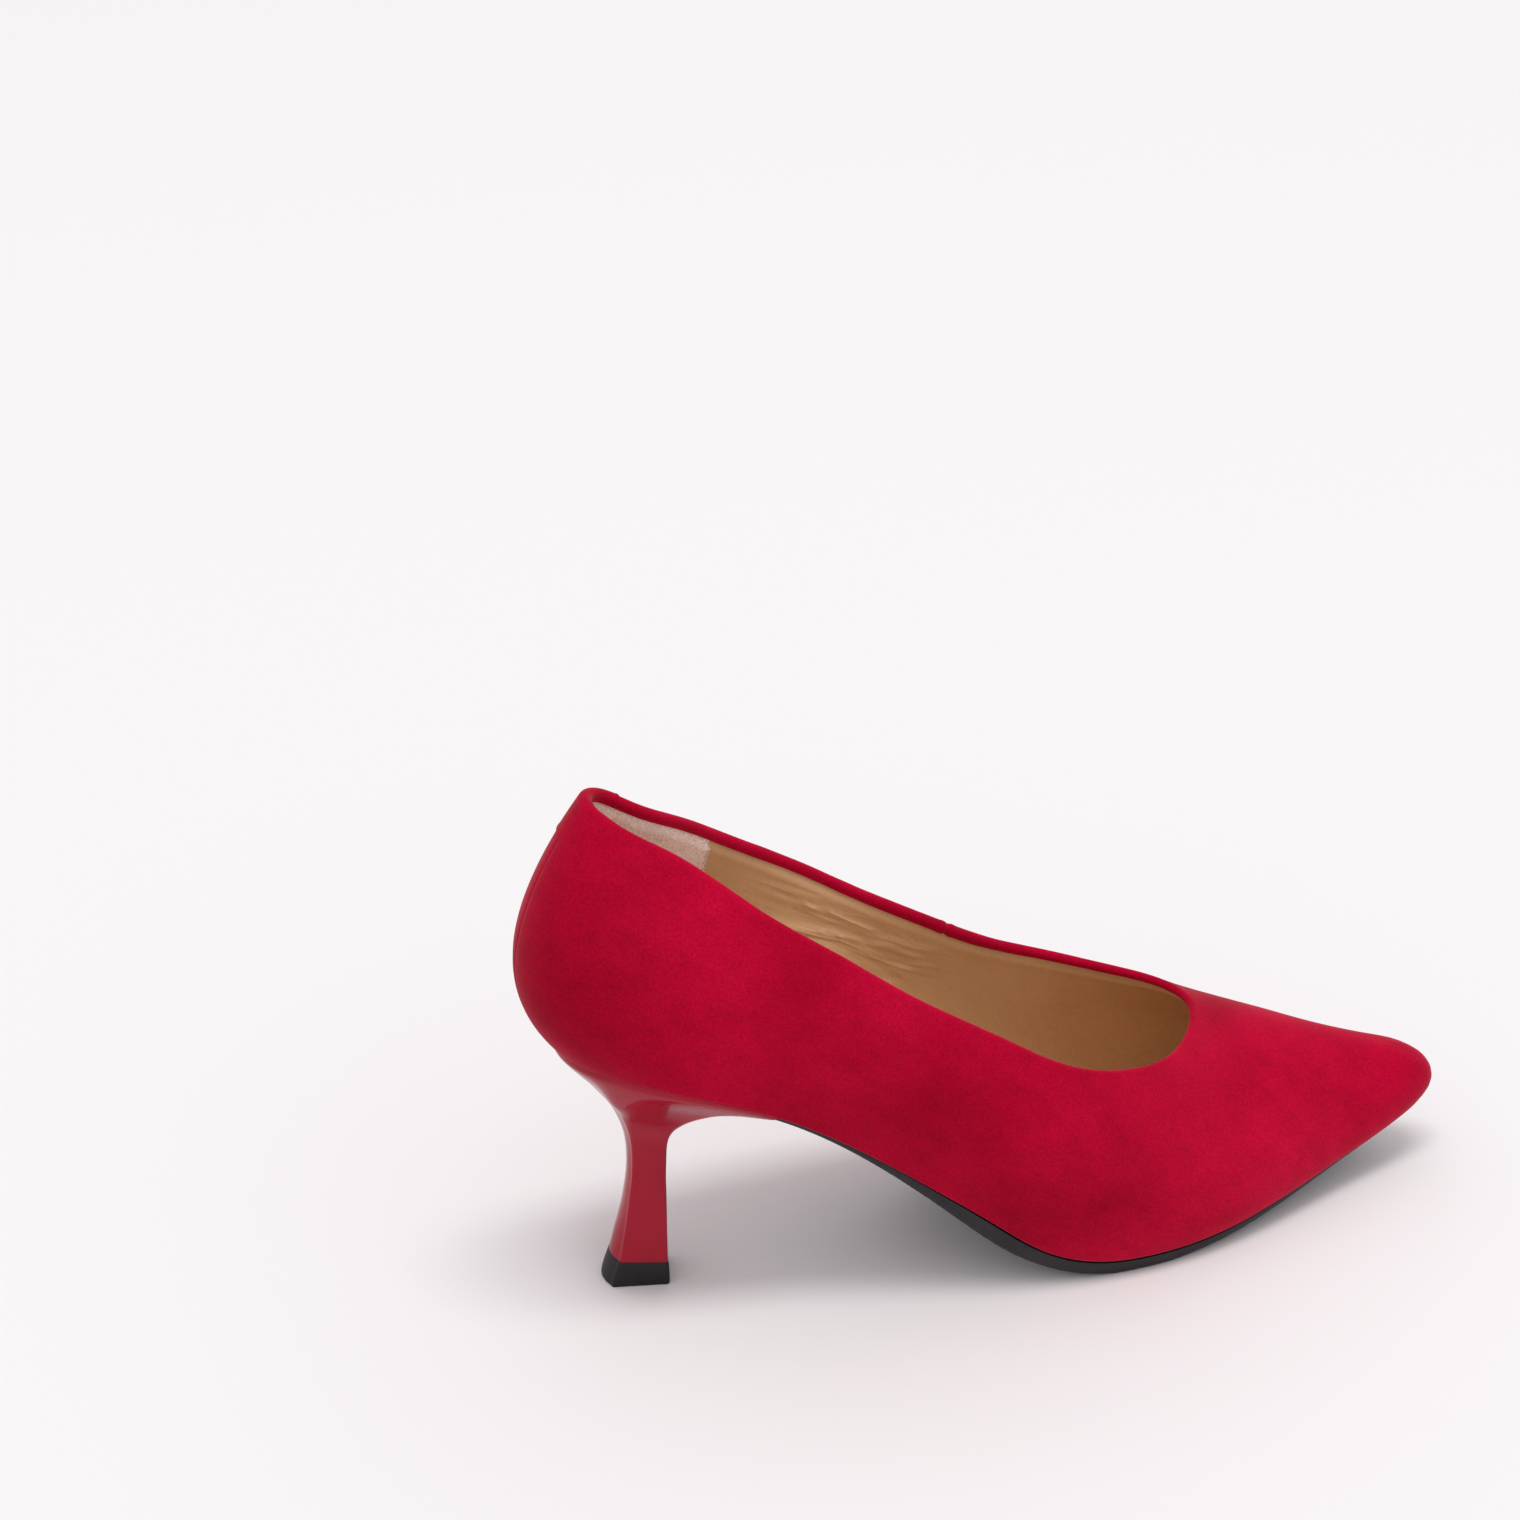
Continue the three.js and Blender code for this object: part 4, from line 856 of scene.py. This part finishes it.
def tab_shell(sheet):
    """The tab of the vamp that laps over the top of the back seam and over the turned edge."""
    shares, feet = tab_places()
    rows = 16
    grid = []
    for share, foot in zip(shares, feet):
        w = foot + (1 - foot) * np.linspace(0, 1, rows + 1)
        u = np.full(w.shape, abs(share) * TAB["share"])
        grid.append(wall("lateral" if share < 0 else "medial", u, w))
    grid = np.array(grid)
    normals = unit(np.cross(np.gradient(grid, axis=0), np.gradient(grid, axis=1)))
    if np.mean(normals[..., 0]) > 0:
        normals = -normals
    out, up = beside_edge(sheet, grid[:, -1])
    size = fold_radius(grid[:, -1, 0])[:, None]
    leaf = [(TAB["leaf"] * k, 0) for k in (1, 2)]
    fold, fold_normals = roll(grid[:, -1], out, up, size, size, leaf)
    skin = np.concatenate([grid, fold.swapaxes(0, 1)], 1)
    normals = np.concatenate([normals, fold_normals.swapaxes(0, 1)], 1)
    border = np.concatenate([skin[:, 0], skin[-1]])
    away = distances(skin.reshape(-1, 3), border).reshape(skin.shape[:2])
    fade = smoothstep(shares, -TAB["back"], 0.1)[:, None]
    rim = TAB["rim"] * bell(away - TAB["rim_at"], TAB["rim_width"]) * (shares > 0)[:, None]
    blend = TAB["round"] + TAB["fade"] * smoothstep(-shares, 0, 0.2)[:, None]
    rolled = np.concatenate([np.ones(rows + 1), np.linspace(1, 0.35, len(fold))])
    over = (TAB["over"] * (1 - bell(away, blend)) + rim) * fade * rolled - TAB["sunk"] * (1 - fade)
    top = skin + normals * over[..., None]
    under = skin - normals * TAB["under"]
    cells = cells_of(np.arange(away.size).reshape(away.shape))
    return shell(top.reshape(-1, 3), under.reshape(-1, 3), cells)


# ---- linings


def lining_folds(p):
    """Height of the soft folds that run down the linings at the waist."""
    (x, y, z), cos, sin = p.T, math.cos(FOLDS["slope"]), math.sin(FOLDS["slope"])
    turned = np.column_stack([x * cos - z * sin, y, x * sin + z * cos])
    turned[:, :2] /= FOLDS["length"]
    ridge = bell(unevenness(turned, 1, 1 / FOLDS["pitch"], 5.7), 0.16)
    near = [np.clip(1 - np.linalg.norm((p - place) / reach, axis=1), 0, 1)
            for place, reach in FOLDS["places"]]
    return FOLDS["depth"] * ridge * smoothstep(np.max(near, axis=0), 0, 0.6)


def lining_faces(sheet, lift=0.0):
    """Outer and inner faces of a lining, squeezed together under the turned edge."""
    p, n, edge = sheet.points, sheet.normals, sheet.away["edge"]
    under = 1 - smoothstep(edge, SQUEEZE["start"], SQUEEZE["end"])
    bulge = SQUEEZE["bulge"] * bell(edge - SQUEEZE["bulge_at"], SQUEEZE["bulge_width"])
    edge_depth = 2 * fold_radius(p[:, 0]) - SQUEEZE["depth"]
    wrinkle = (unevenness(p, *LINING_UNEVEN) + lining_folds(p)) * smoothstep(edge, 2, 8)
    thin = skive(p[:, 0])
    top, foot = LINING[0] * thin, (LINING[1] + lift + bulge) * thin
    top = top + (edge_depth - SQUEEZE["thickness"] - top) * under
    foot = foot + (edge_depth - foot) * under + wrinkle
    return p - n * top[:, None], p - n * foot[:, None]


def make_tape(sheet):
    """The tape that keeps the topline from stretching, between the upper and the linings."""
    rows = (sheet.rows - 1 - TAPE_ROWS, sheet.rows - 1)
    cells = np.concatenate([sheet.quads(side, (0, THROAT_COLUMN), rows) for side in SIDES])
    faces = [sheet.points - sheet.normals * depth for depth in TAPE_DEPTHS]
    make("topline_tape_webbing", *shell(*faces, cells), WEBBING, "topline_tape", "webbing")


def make_linings(sheet):
    faces, grip_faces = lining_faces(sheet), lining_faces(sheet, GRIP_LIFT)

    def cells(side, start, end):
        return sheet.quads(side, (start, end), (BOARD_ROW, sheet.rows - 1))

    for side in SIDES:
        quarter = cells(side, GRIP_COLUMN, THROAT_COLUMN)
        node = f"{side}_quarter_lining"
        make(f"{node}_leather", *shell(*faces, quarter), LINING_LEATHER, node, "lining_leather")
    vamp = np.concatenate([cells(side, THROAT_COLUMN, sheet.columns - 1) for side in SIDES])
    make("vamp_lining_leather", *shell(*faces, vamp), LINING_LEATHER, "vamp_lining", "lining_leather")
    back = np.concatenate([cells(side, 0, GRIP_COLUMN) for side in SIDES])
    make("heel_grip_suede", *shell(*grip_faces, back), GRIP_SUEDE, "heel_grip", "grip_suede")


# ---- stitches


def tube(path, radius, sides=6):
    """A round thread along a path, thinner at its ends."""
    path = np.array(path, float)
    along = unit(np.gradient(path, axis=0))
    guide = np.array([0.31, 0.9, 0.27])
    a = unit(np.cross(along, guide))
    b = np.cross(along, a)
    turn = np.arange(sides) * 2 * math.pi / sides
    share = np.linspace(0, 1, len(path))
    girth = radius * np.clip(np.minimum(share, 1 - share) * 6 + 0.45, 0, 1)
    return [p + r * (np.outer(np.cos(turn), u) + np.outer(np.sin(turn), v))
            for p, u, v, r in zip(path, a, b, girth)]


def stitch(start, end, way):
    """One stitch between two (point, normal) places, lower on the lining; way is 1 if it starts
    there."""
    path = []
    for t in np.linspace(0, 1, 7):
        sunk = STITCH["sink"] * smoothstep(way * (1 - 2 * t), -0.3, 0.6)
        height = sunk - STITCH["rise"] * math.sin(math.pi * t)
        point, normal = start + (end - start) * t
        path.append(point + normal * height)
    return loft(tube(path, STITCH["radius"]))


def grip_stitches(sheet):
    """Zigzag stitches that hold the edge of the heel grip to the quarter linings."""
    parts, pitch = [], STITCH["pitch"]
    inner = lining_faces(sheet, GRIP_LIFT)[1]
    for side in SIDES:
        column = sheet.grid[side][:, BOARD_ROW + 3:sheet.rows - 1]
        edge = inner[column[GRIP_COLUMN]]
        ahead = unit(inner[column[GRIP_COLUMN + 6]] - inner[column[GRIP_COLUMN - 6]])
        table = np.column_stack([edge, ahead, sheet.normals[column[GRIP_COLUMN]]])
        length = np.concatenate([[0], np.cumsum(np.linalg.norm(np.diff(edge, axis=0), axis=1))])

        def place(at, way):
            row = np.array([np.interp(at, length, values) for values in table.T])
            return np.array([row[:3] + row[3:6] * way * STITCH["reach"], row[6:]])

        for k in range(int(length[-1] / pitch)):
            way = 1 if k % 2 else -1
            start, end = place(k * pitch, way), place((k + STITCH["stroke"]) * pitch, -way)
            parts.append(stitch(start, end, way))
    make("grip_stitches", *join(parts), THREAD_TAN, slot="grip_suede")


# ---- plates of the bottom


def even(start, end, steps, share):
    """Places from start to end, closer together near both; share is how much of them is even."""
    round_steps = (1 - np.cos(np.linspace(0, math.pi, steps + 1))) / 2
    return start + (end - start) * (round_steps * (1 - share) + np.linspace(0, 1, steps + 1) * share)


def plate(start, end, top, bottom, inset, steps, edge, across=18, skew=0.0):
    """A plate along the feather line. top and bottom are heights by x and share across; edge lists
    (inset change, share of the height) down its rounded rim; skew is how far the medial side's
    start lies behind the lateral side's."""
    def ends(x, change):
        back = skew * max(0, 1 - (x - start) / SKEW_LENGTH)
        found = []
        for side, at in (("lateral", x), ("medial", x - back)):
            p, n = feather(side, u_at_x(side, at))
            found.append(p - n * (inset(x) + change))
        return found

    def face(lateral, medial, height):
        flat = lateral + (medial - lateral) * shares[:, None]
        return np.column_stack([flat, height(flat[:, 0], shares)])

    def rim(side, x):
        points = []
        for change, part in edge[:-1]:
            p = ends(x, change)[side]
            high, low = (height(p[:1], np.array([float(side)]))[0] for height in (top, bottom))
            points.append([*p, high + (low - high) * part])
        return np.array(points)

    shares = even(0, 1, across, 0.5)
    rings = []
    for x in even(start, end, steps, 0.65):
        upper, lower = face(*ends(x, 0), top), face(*ends(x, edge[-1][0]), bottom)
        rings.append(np.concatenate([upper, rim(1, x), lower[::-1], rim(0, x)[::-1]]))
    return loft(rings)


def pad_height(name):
    start, end = PAD[name]
    return lambda x: (PAD["height"] - PAD["edge"]) * (
        smoothstep(x, start, start + PAD["ramp"]) * (1 - smoothstep(x, end - PAD["ramp"], end)))


def above_feather(height):
    return lambda x, share: feather_height(x) + height


def crown(share):
    """1 in the middle of a plate, falling to 0 at its sides."""
    return np.clip(4 * share * (1 - share), 0, 1)


def make_pads():
    """Latex foam pads under the sock lining: crowned, with skived edges."""
    bottom = above_feather(BOARD_TOP + PAD["gap"])
    for name in ("heel", "forefoot"):
        rise = pad_height(name)

        def top(x, share):
            return bottom(x, share) + PAD["edge"] + rise(x) * (0.25 + 0.75 * crown(share)**0.5)

        start, end = PAD[name]
        start = max(start, BACK[0] + PAD["back_gap"])
        shape = plate(start, end, top, bottom, lambda x: PAD["inset"], 44,
                      edge=((-0.05, 0.3), (-0.02, 0.7), (0, 1)))
        piece = make(f"{name}_foam_pad", *shape, FOAM, f"{name}_pad", "foam")


def make_sock():
    """The sock lining, which follows the pads and turns up a little at the wall."""
    heel, forefoot = pad_height("heel"), pad_height("forefoot")
    foot = BOARD_TOP + PAD["gap"] + PAD["edge"] + SOCK["gap"]

    def bottom(x, share):
        edge = np.abs(2 * share - 1)
        pads = (heel(x) + forefoot(x)) * (1 - 0.45 * edge**4)
        return feather_height(x) + foot + pads + SOCK["dish"] * edge**8

    def top(x, share):
        return bottom(x, share) + SOCK["thickness"]

    shape = plate(BACK[0] + SOCK["back_gap"], SOCK["end"], top, bottom, lambda x: SOCK["inset"], 130,
                  edge=((-0.12, 0.25), (-0.14, 0.6), (0, 1)), across=30)
    make("sock_lining_leather", *shape, SOCK_LEATHER, "sock_lining", "sock_leather")


def make_outsole():
    drop = curve(SOLE_DROP)

    def bottom(x, share):
        bow = SOLE_CROWN * crown(share) * (1 - smoothstep(x, 60, 100)) * smoothstep(x, 34, 45)
        return np.maximum(0, feather_height(x) - drop(x)) - bow

    def inset(x):
        return (SOLE_INSET["ball"] + SOLE_INSET["waist"] * (1 - smoothstep(x, 30, 80))
                + SOLE_INSET["toe"] * smoothstep(x, 135, 200))

    shape = plate(
        BREAST["lateral"] + BREAST_GAP, SOLE_END, above_feather(SOLE_TOP), bottom, inset, 150,
        edge=((-0.1, 0.1), (-0.12, 0.45), (0.0, 0.7), (0.28, 0.88), (0.62, 0.97), (1.1, 1)),
        across=26, skew=BREAST["lateral"] - BREAST["medial"],
    )
    make("outsole_rubber", *shape, SOLE_RUBBER, "outsole", "sole", sharp=50)


# ---- heel

# how far apart a ring's corners are: along a side, round the back and across the breast
SIDE_SPAN, BACK_SPAN, FRONT_SPAN = 5, 6, 6
CORNER_STEPS, FLAT_STEPS = 5, 4


def ring_places():
    """(kind, place) round a ring: the lateral side, the back, the medial side, the breast."""
    places = []
    for kind, span in (("lateral", SIDE_SPAN), ("back", BACK_SPAN), ("medial", SIDE_SPAN),
                       ("front", FRONT_SPAN)):
        corner = np.linspace(0, 1, CORNER_STEPS + 1)
        flat = np.linspace(1, span - 1, FLAT_STEPS * (span - 2) + 1)
        places += [(kind, t) for t in (*corner[:-1], *flat, *(span - corner[::-1][1:-1]))]
    return places


def rim_ring(drop):
    """The heel's top ring, under the feather edge; drop is its depth by x."""
    def seat_height(x):
        return feather_height(x) + HEEL_TOP - drop(x)

    def at(side, u):
        p, n = feather(side, u)
        p = p - n * HEEL_RIM
        return np.array([*p, seat_height(p[0])])

    def at_x(side, x):
        return at(side, float(u_at_x(side, x)))

    breast = {side: at_x(side, BREAST[side]) for side in SIDES}
    ring = []
    for kind, t in ring_places():
        if kind in SIDES:
            share = t / SIDE_SPAN if kind == "lateral" else 1 - t / SIDE_SPAN
            point = at_x(kind, BREAST[kind] + (HEEL_ROUND_X - BREAST[kind]) * share)
        elif kind == "back":
            turn = 2 * t / BACK_SPAN - 1
            side = "lateral" if turn < 0 else "medial"
            point = at(side, abs(turn) * float(u_at_x(side, HEEL_ROUND_X)))
        else:
            point = breast["medial"] + (breast["lateral"] - breast["medial"]) * t / FRONT_SPAN
            point[2] = seat_height(point[0])
        ring.append(point)
    return np.array(ring)


def section_ring(z_back, z_front, back, front, half, corner, bulge, turn):
    """A ring below the seat: flat sides, rounded corners and a bowed back."""
    behind = back + bulge
    face = half - corner

    def inward(step):
        """How far a corner's arc lies in from both its faces; step 0 is its middle."""
        angle = math.pi / 4 * (1 + step)
        return corner * (1 - math.cos(angle)), corner * (1 - math.sin(angle))

    ring = []
    for kind, t in ring_places():
        if kind in SIDES:
            step = t if kind == "lateral" else SIDE_SPAN - t
            share = (step - 1) / (SIDE_SPAN - 2)
            x, y = front - corner + (behind - front + 2 * corner) * share, half
            if step < 1 or step > SIDE_SPAN - 1:
                x_in, y_in = inward(min(step, SIDE_SPAN - step))
                x = front - x_in if step < 1 else behind + x_in
                y = half - y_in
            y *= -1 if kind == "lateral" else 1
        else:
            span = BACK_SPAN if kind == "back" else FRONT_SPAN
            step = min(t, span - t)
            side = (-1 if t < span / 2 else 1) * (1 if kind == "back" else -1)
            if step < 1:
                y_in, x_in = inward(step)
                y = side * (half - y_in)
                x = behind + x_in if kind == "back" else front - x_in
            else:
                y = side * face * (1 - (step - 1) / (span / 2 - 1))
                x = back + bulge * (y / face)**2 if kind == "back" else front
        z = z_back + (z_front - z_back) * (x - back) / (front - back)
        ring.append((x - TUBE_X, y, z))
    turned = np.array(ring) @ np.array(Matrix.Rotation(math.radians(turn), 3, "Z")).T
    return turned + (TUBE_X, 0, 0)


def spine_rings(levels, splits):
    """Rings between the levels, by centripetal Catmull-Rom splines from level to level."""
    p = np.array(levels)
    p = np.concatenate([[2 * p[0] - p[1]], p, [2 * p[-1] - p[-2]]])
    rings = [levels[0]]
    for i, count in enumerate(splits):
        a, b, c, d = p[i:i + 4]
        gap = [np.maximum(np.linalg.norm(q - r, axis=1), 1e-6)[:, None]**0.5
               for q, r in ((b, a), (c, b), (d, c))]
        first = ((b - a) / gap[0] - (c - a) / (gap[0] + gap[1]) + (c - b) / gap[1]) * gap[1]
        second = ((c - b) / gap[1] - (d - b) / (gap[1] + gap[2]) + (d - c) / gap[2]) * gap[1]
        for t in np.arange(1, count + 1) / count:
            rings.append(b * (2 * t**3 - 3 * t**2 + 1) + c * (3 * t**2 - 2 * t**3)
                         + first * (t**3 - 2 * t**2 + t) + second * (t**3 - t**2))
    return rings


def make_heel():
    size = HEEL_RIM_HEIGHT

    def rim(x):
        return size["back"] + (size["lip"] - size["back"]) * smoothstep(x, 0, size["lip_x"])

    levels = [rim_ring(lambda x: 0.0), rim_ring(rim), *(section_ring(*s) for s in HEEL_SECTIONS)]
    rings = spine_rings(levels, (2, 10, 10, 9, 8, 8, 8, 6))
    make("heel_block_lacquered", *loft(rings), LACQUER, "heel_block", "lacquer", sharp=60)
    rings = spine_rings([section_ring(*s) for s in TOP_PIECE_SECTIONS], (2, 2, 8, 2, 2))
    make("top_piece_rubber", *loft(rings), LIFT_RUBBER, "top_piece", "lift", sharp=50)


# ---- the hidden frame nodes

HIDDEN = [
    (STIFFENER, ["toe_puff", "heel_counter"]),
    (FIBRE_BOARD, ["insole_board", "shank_board"]),
    (CORK, ["bottom_filler"]),
    (STEEL, ["steel_shank", "shank_rivet_rear", "shank_rivet_front", "heel_tube", "top_piece_pin",
             "heel_screw", *(f"heel_nail_{i}" for i in (1, 2, 3, 4))]),
]


def paint_hidden():
    for material, nodes in HIDDEN:
        for node in nodes:
            slots = frame["nodes"][node].data.materials
            slots.clear()
            slots.append(material)


# ---- stage, light and camera

CAMERA = {"place": (-254.8, -1003.5, 696.9), "look": (0.2426, 0.8481, -0.4711), "lens": 118.42}
# in metres, about the shoe's own middle; size is the width and depth
SOFTBOX = {"place": (0.0, -0.75, 6.0), "size": (3.4, 1.2), "power": 136, "colour": (0.98, 1.0, 0.985)}
FLOOR = {"reach": 12.0, "colour": (0.855, 0.857, 0.857, 1)}
SKY = {"colour": (1.0, 0.955, 0.98, 1), "strength": 0.78}


def aim(thing, direction):
    thing.rotation_euler = Vector(direction).to_track_quat("-Z", "Y").to_euler()


def make_floor():
    mesh = bpy.data.meshes.new("studio_floor")
    corners = [(x * FLOOR["reach"], y * FLOOR["reach"], 0)
               for x, y in ((-1, -1), (1, -1), (1, 1), (-1, 1))]
    mesh.from_pydata(corners, [], [(0, 1, 2, 3)])
    paint = Paint("studio_floor", Roughness=0.6, Specular_IOR_Level=0.15, Base_Color=FLOOR["colour"])
    mesh.materials.append(paint.material)
    add_object("studio_floor", mesh)


def make_light():
    """A softbox above the shoe, and a pale sky."""
    light = bpy.data.lights.new("top_softbox", "AREA")
    light.shape = "RECTANGLE"
    light.size, light.size_y = SOFTBOX["size"]
    light.energy, light.color = SOFTBOX["power"], SOFTBOX["colour"]
    lamp = add_object("top_softbox", light)
    lamp.location = SOFTBOX["place"]
    aim(lamp, -Vector(SOFTBOX["place"]))
    world = bpy.data.worlds.new("studio")
    world.use_nodes = True
    sky = world.node_tree.nodes["Background"].inputs
    sky["Color"].default_value = SKY["colour"]
    sky["Strength"].default_value = SKY["strength"]
    bpy.context.scene.world = world
    view = bpy.context.scene.view_settings
    view.view_transform, view.look = "Standard", "None"


def make_camera():
    """The photograph's camera; its place is in the last's frame, in millimetres."""
    camera = bpy.data.cameras.new("camera")
    camera.lens = CAMERA["lens"]
    camera.sensor_width = 36
    camera.clip_end = 20
    eye = add_object("camera", camera)
    eye.location = (np.array(CAMERA["place"]) + SHIFT) * MM
    aim(eye, CAMERA["look"])
    bpy.context.scene.camera = eye


# ---- the shoe

make_camera()
make_floor()
make_light()
sheet = Sheet()
make_upper(sheet)
make_tape(sheet)
make_linings(sheet)
grip_stitches(sheet)
make_pads()
make_sock()
make_outsole()
make_heel()
paint_hidden()
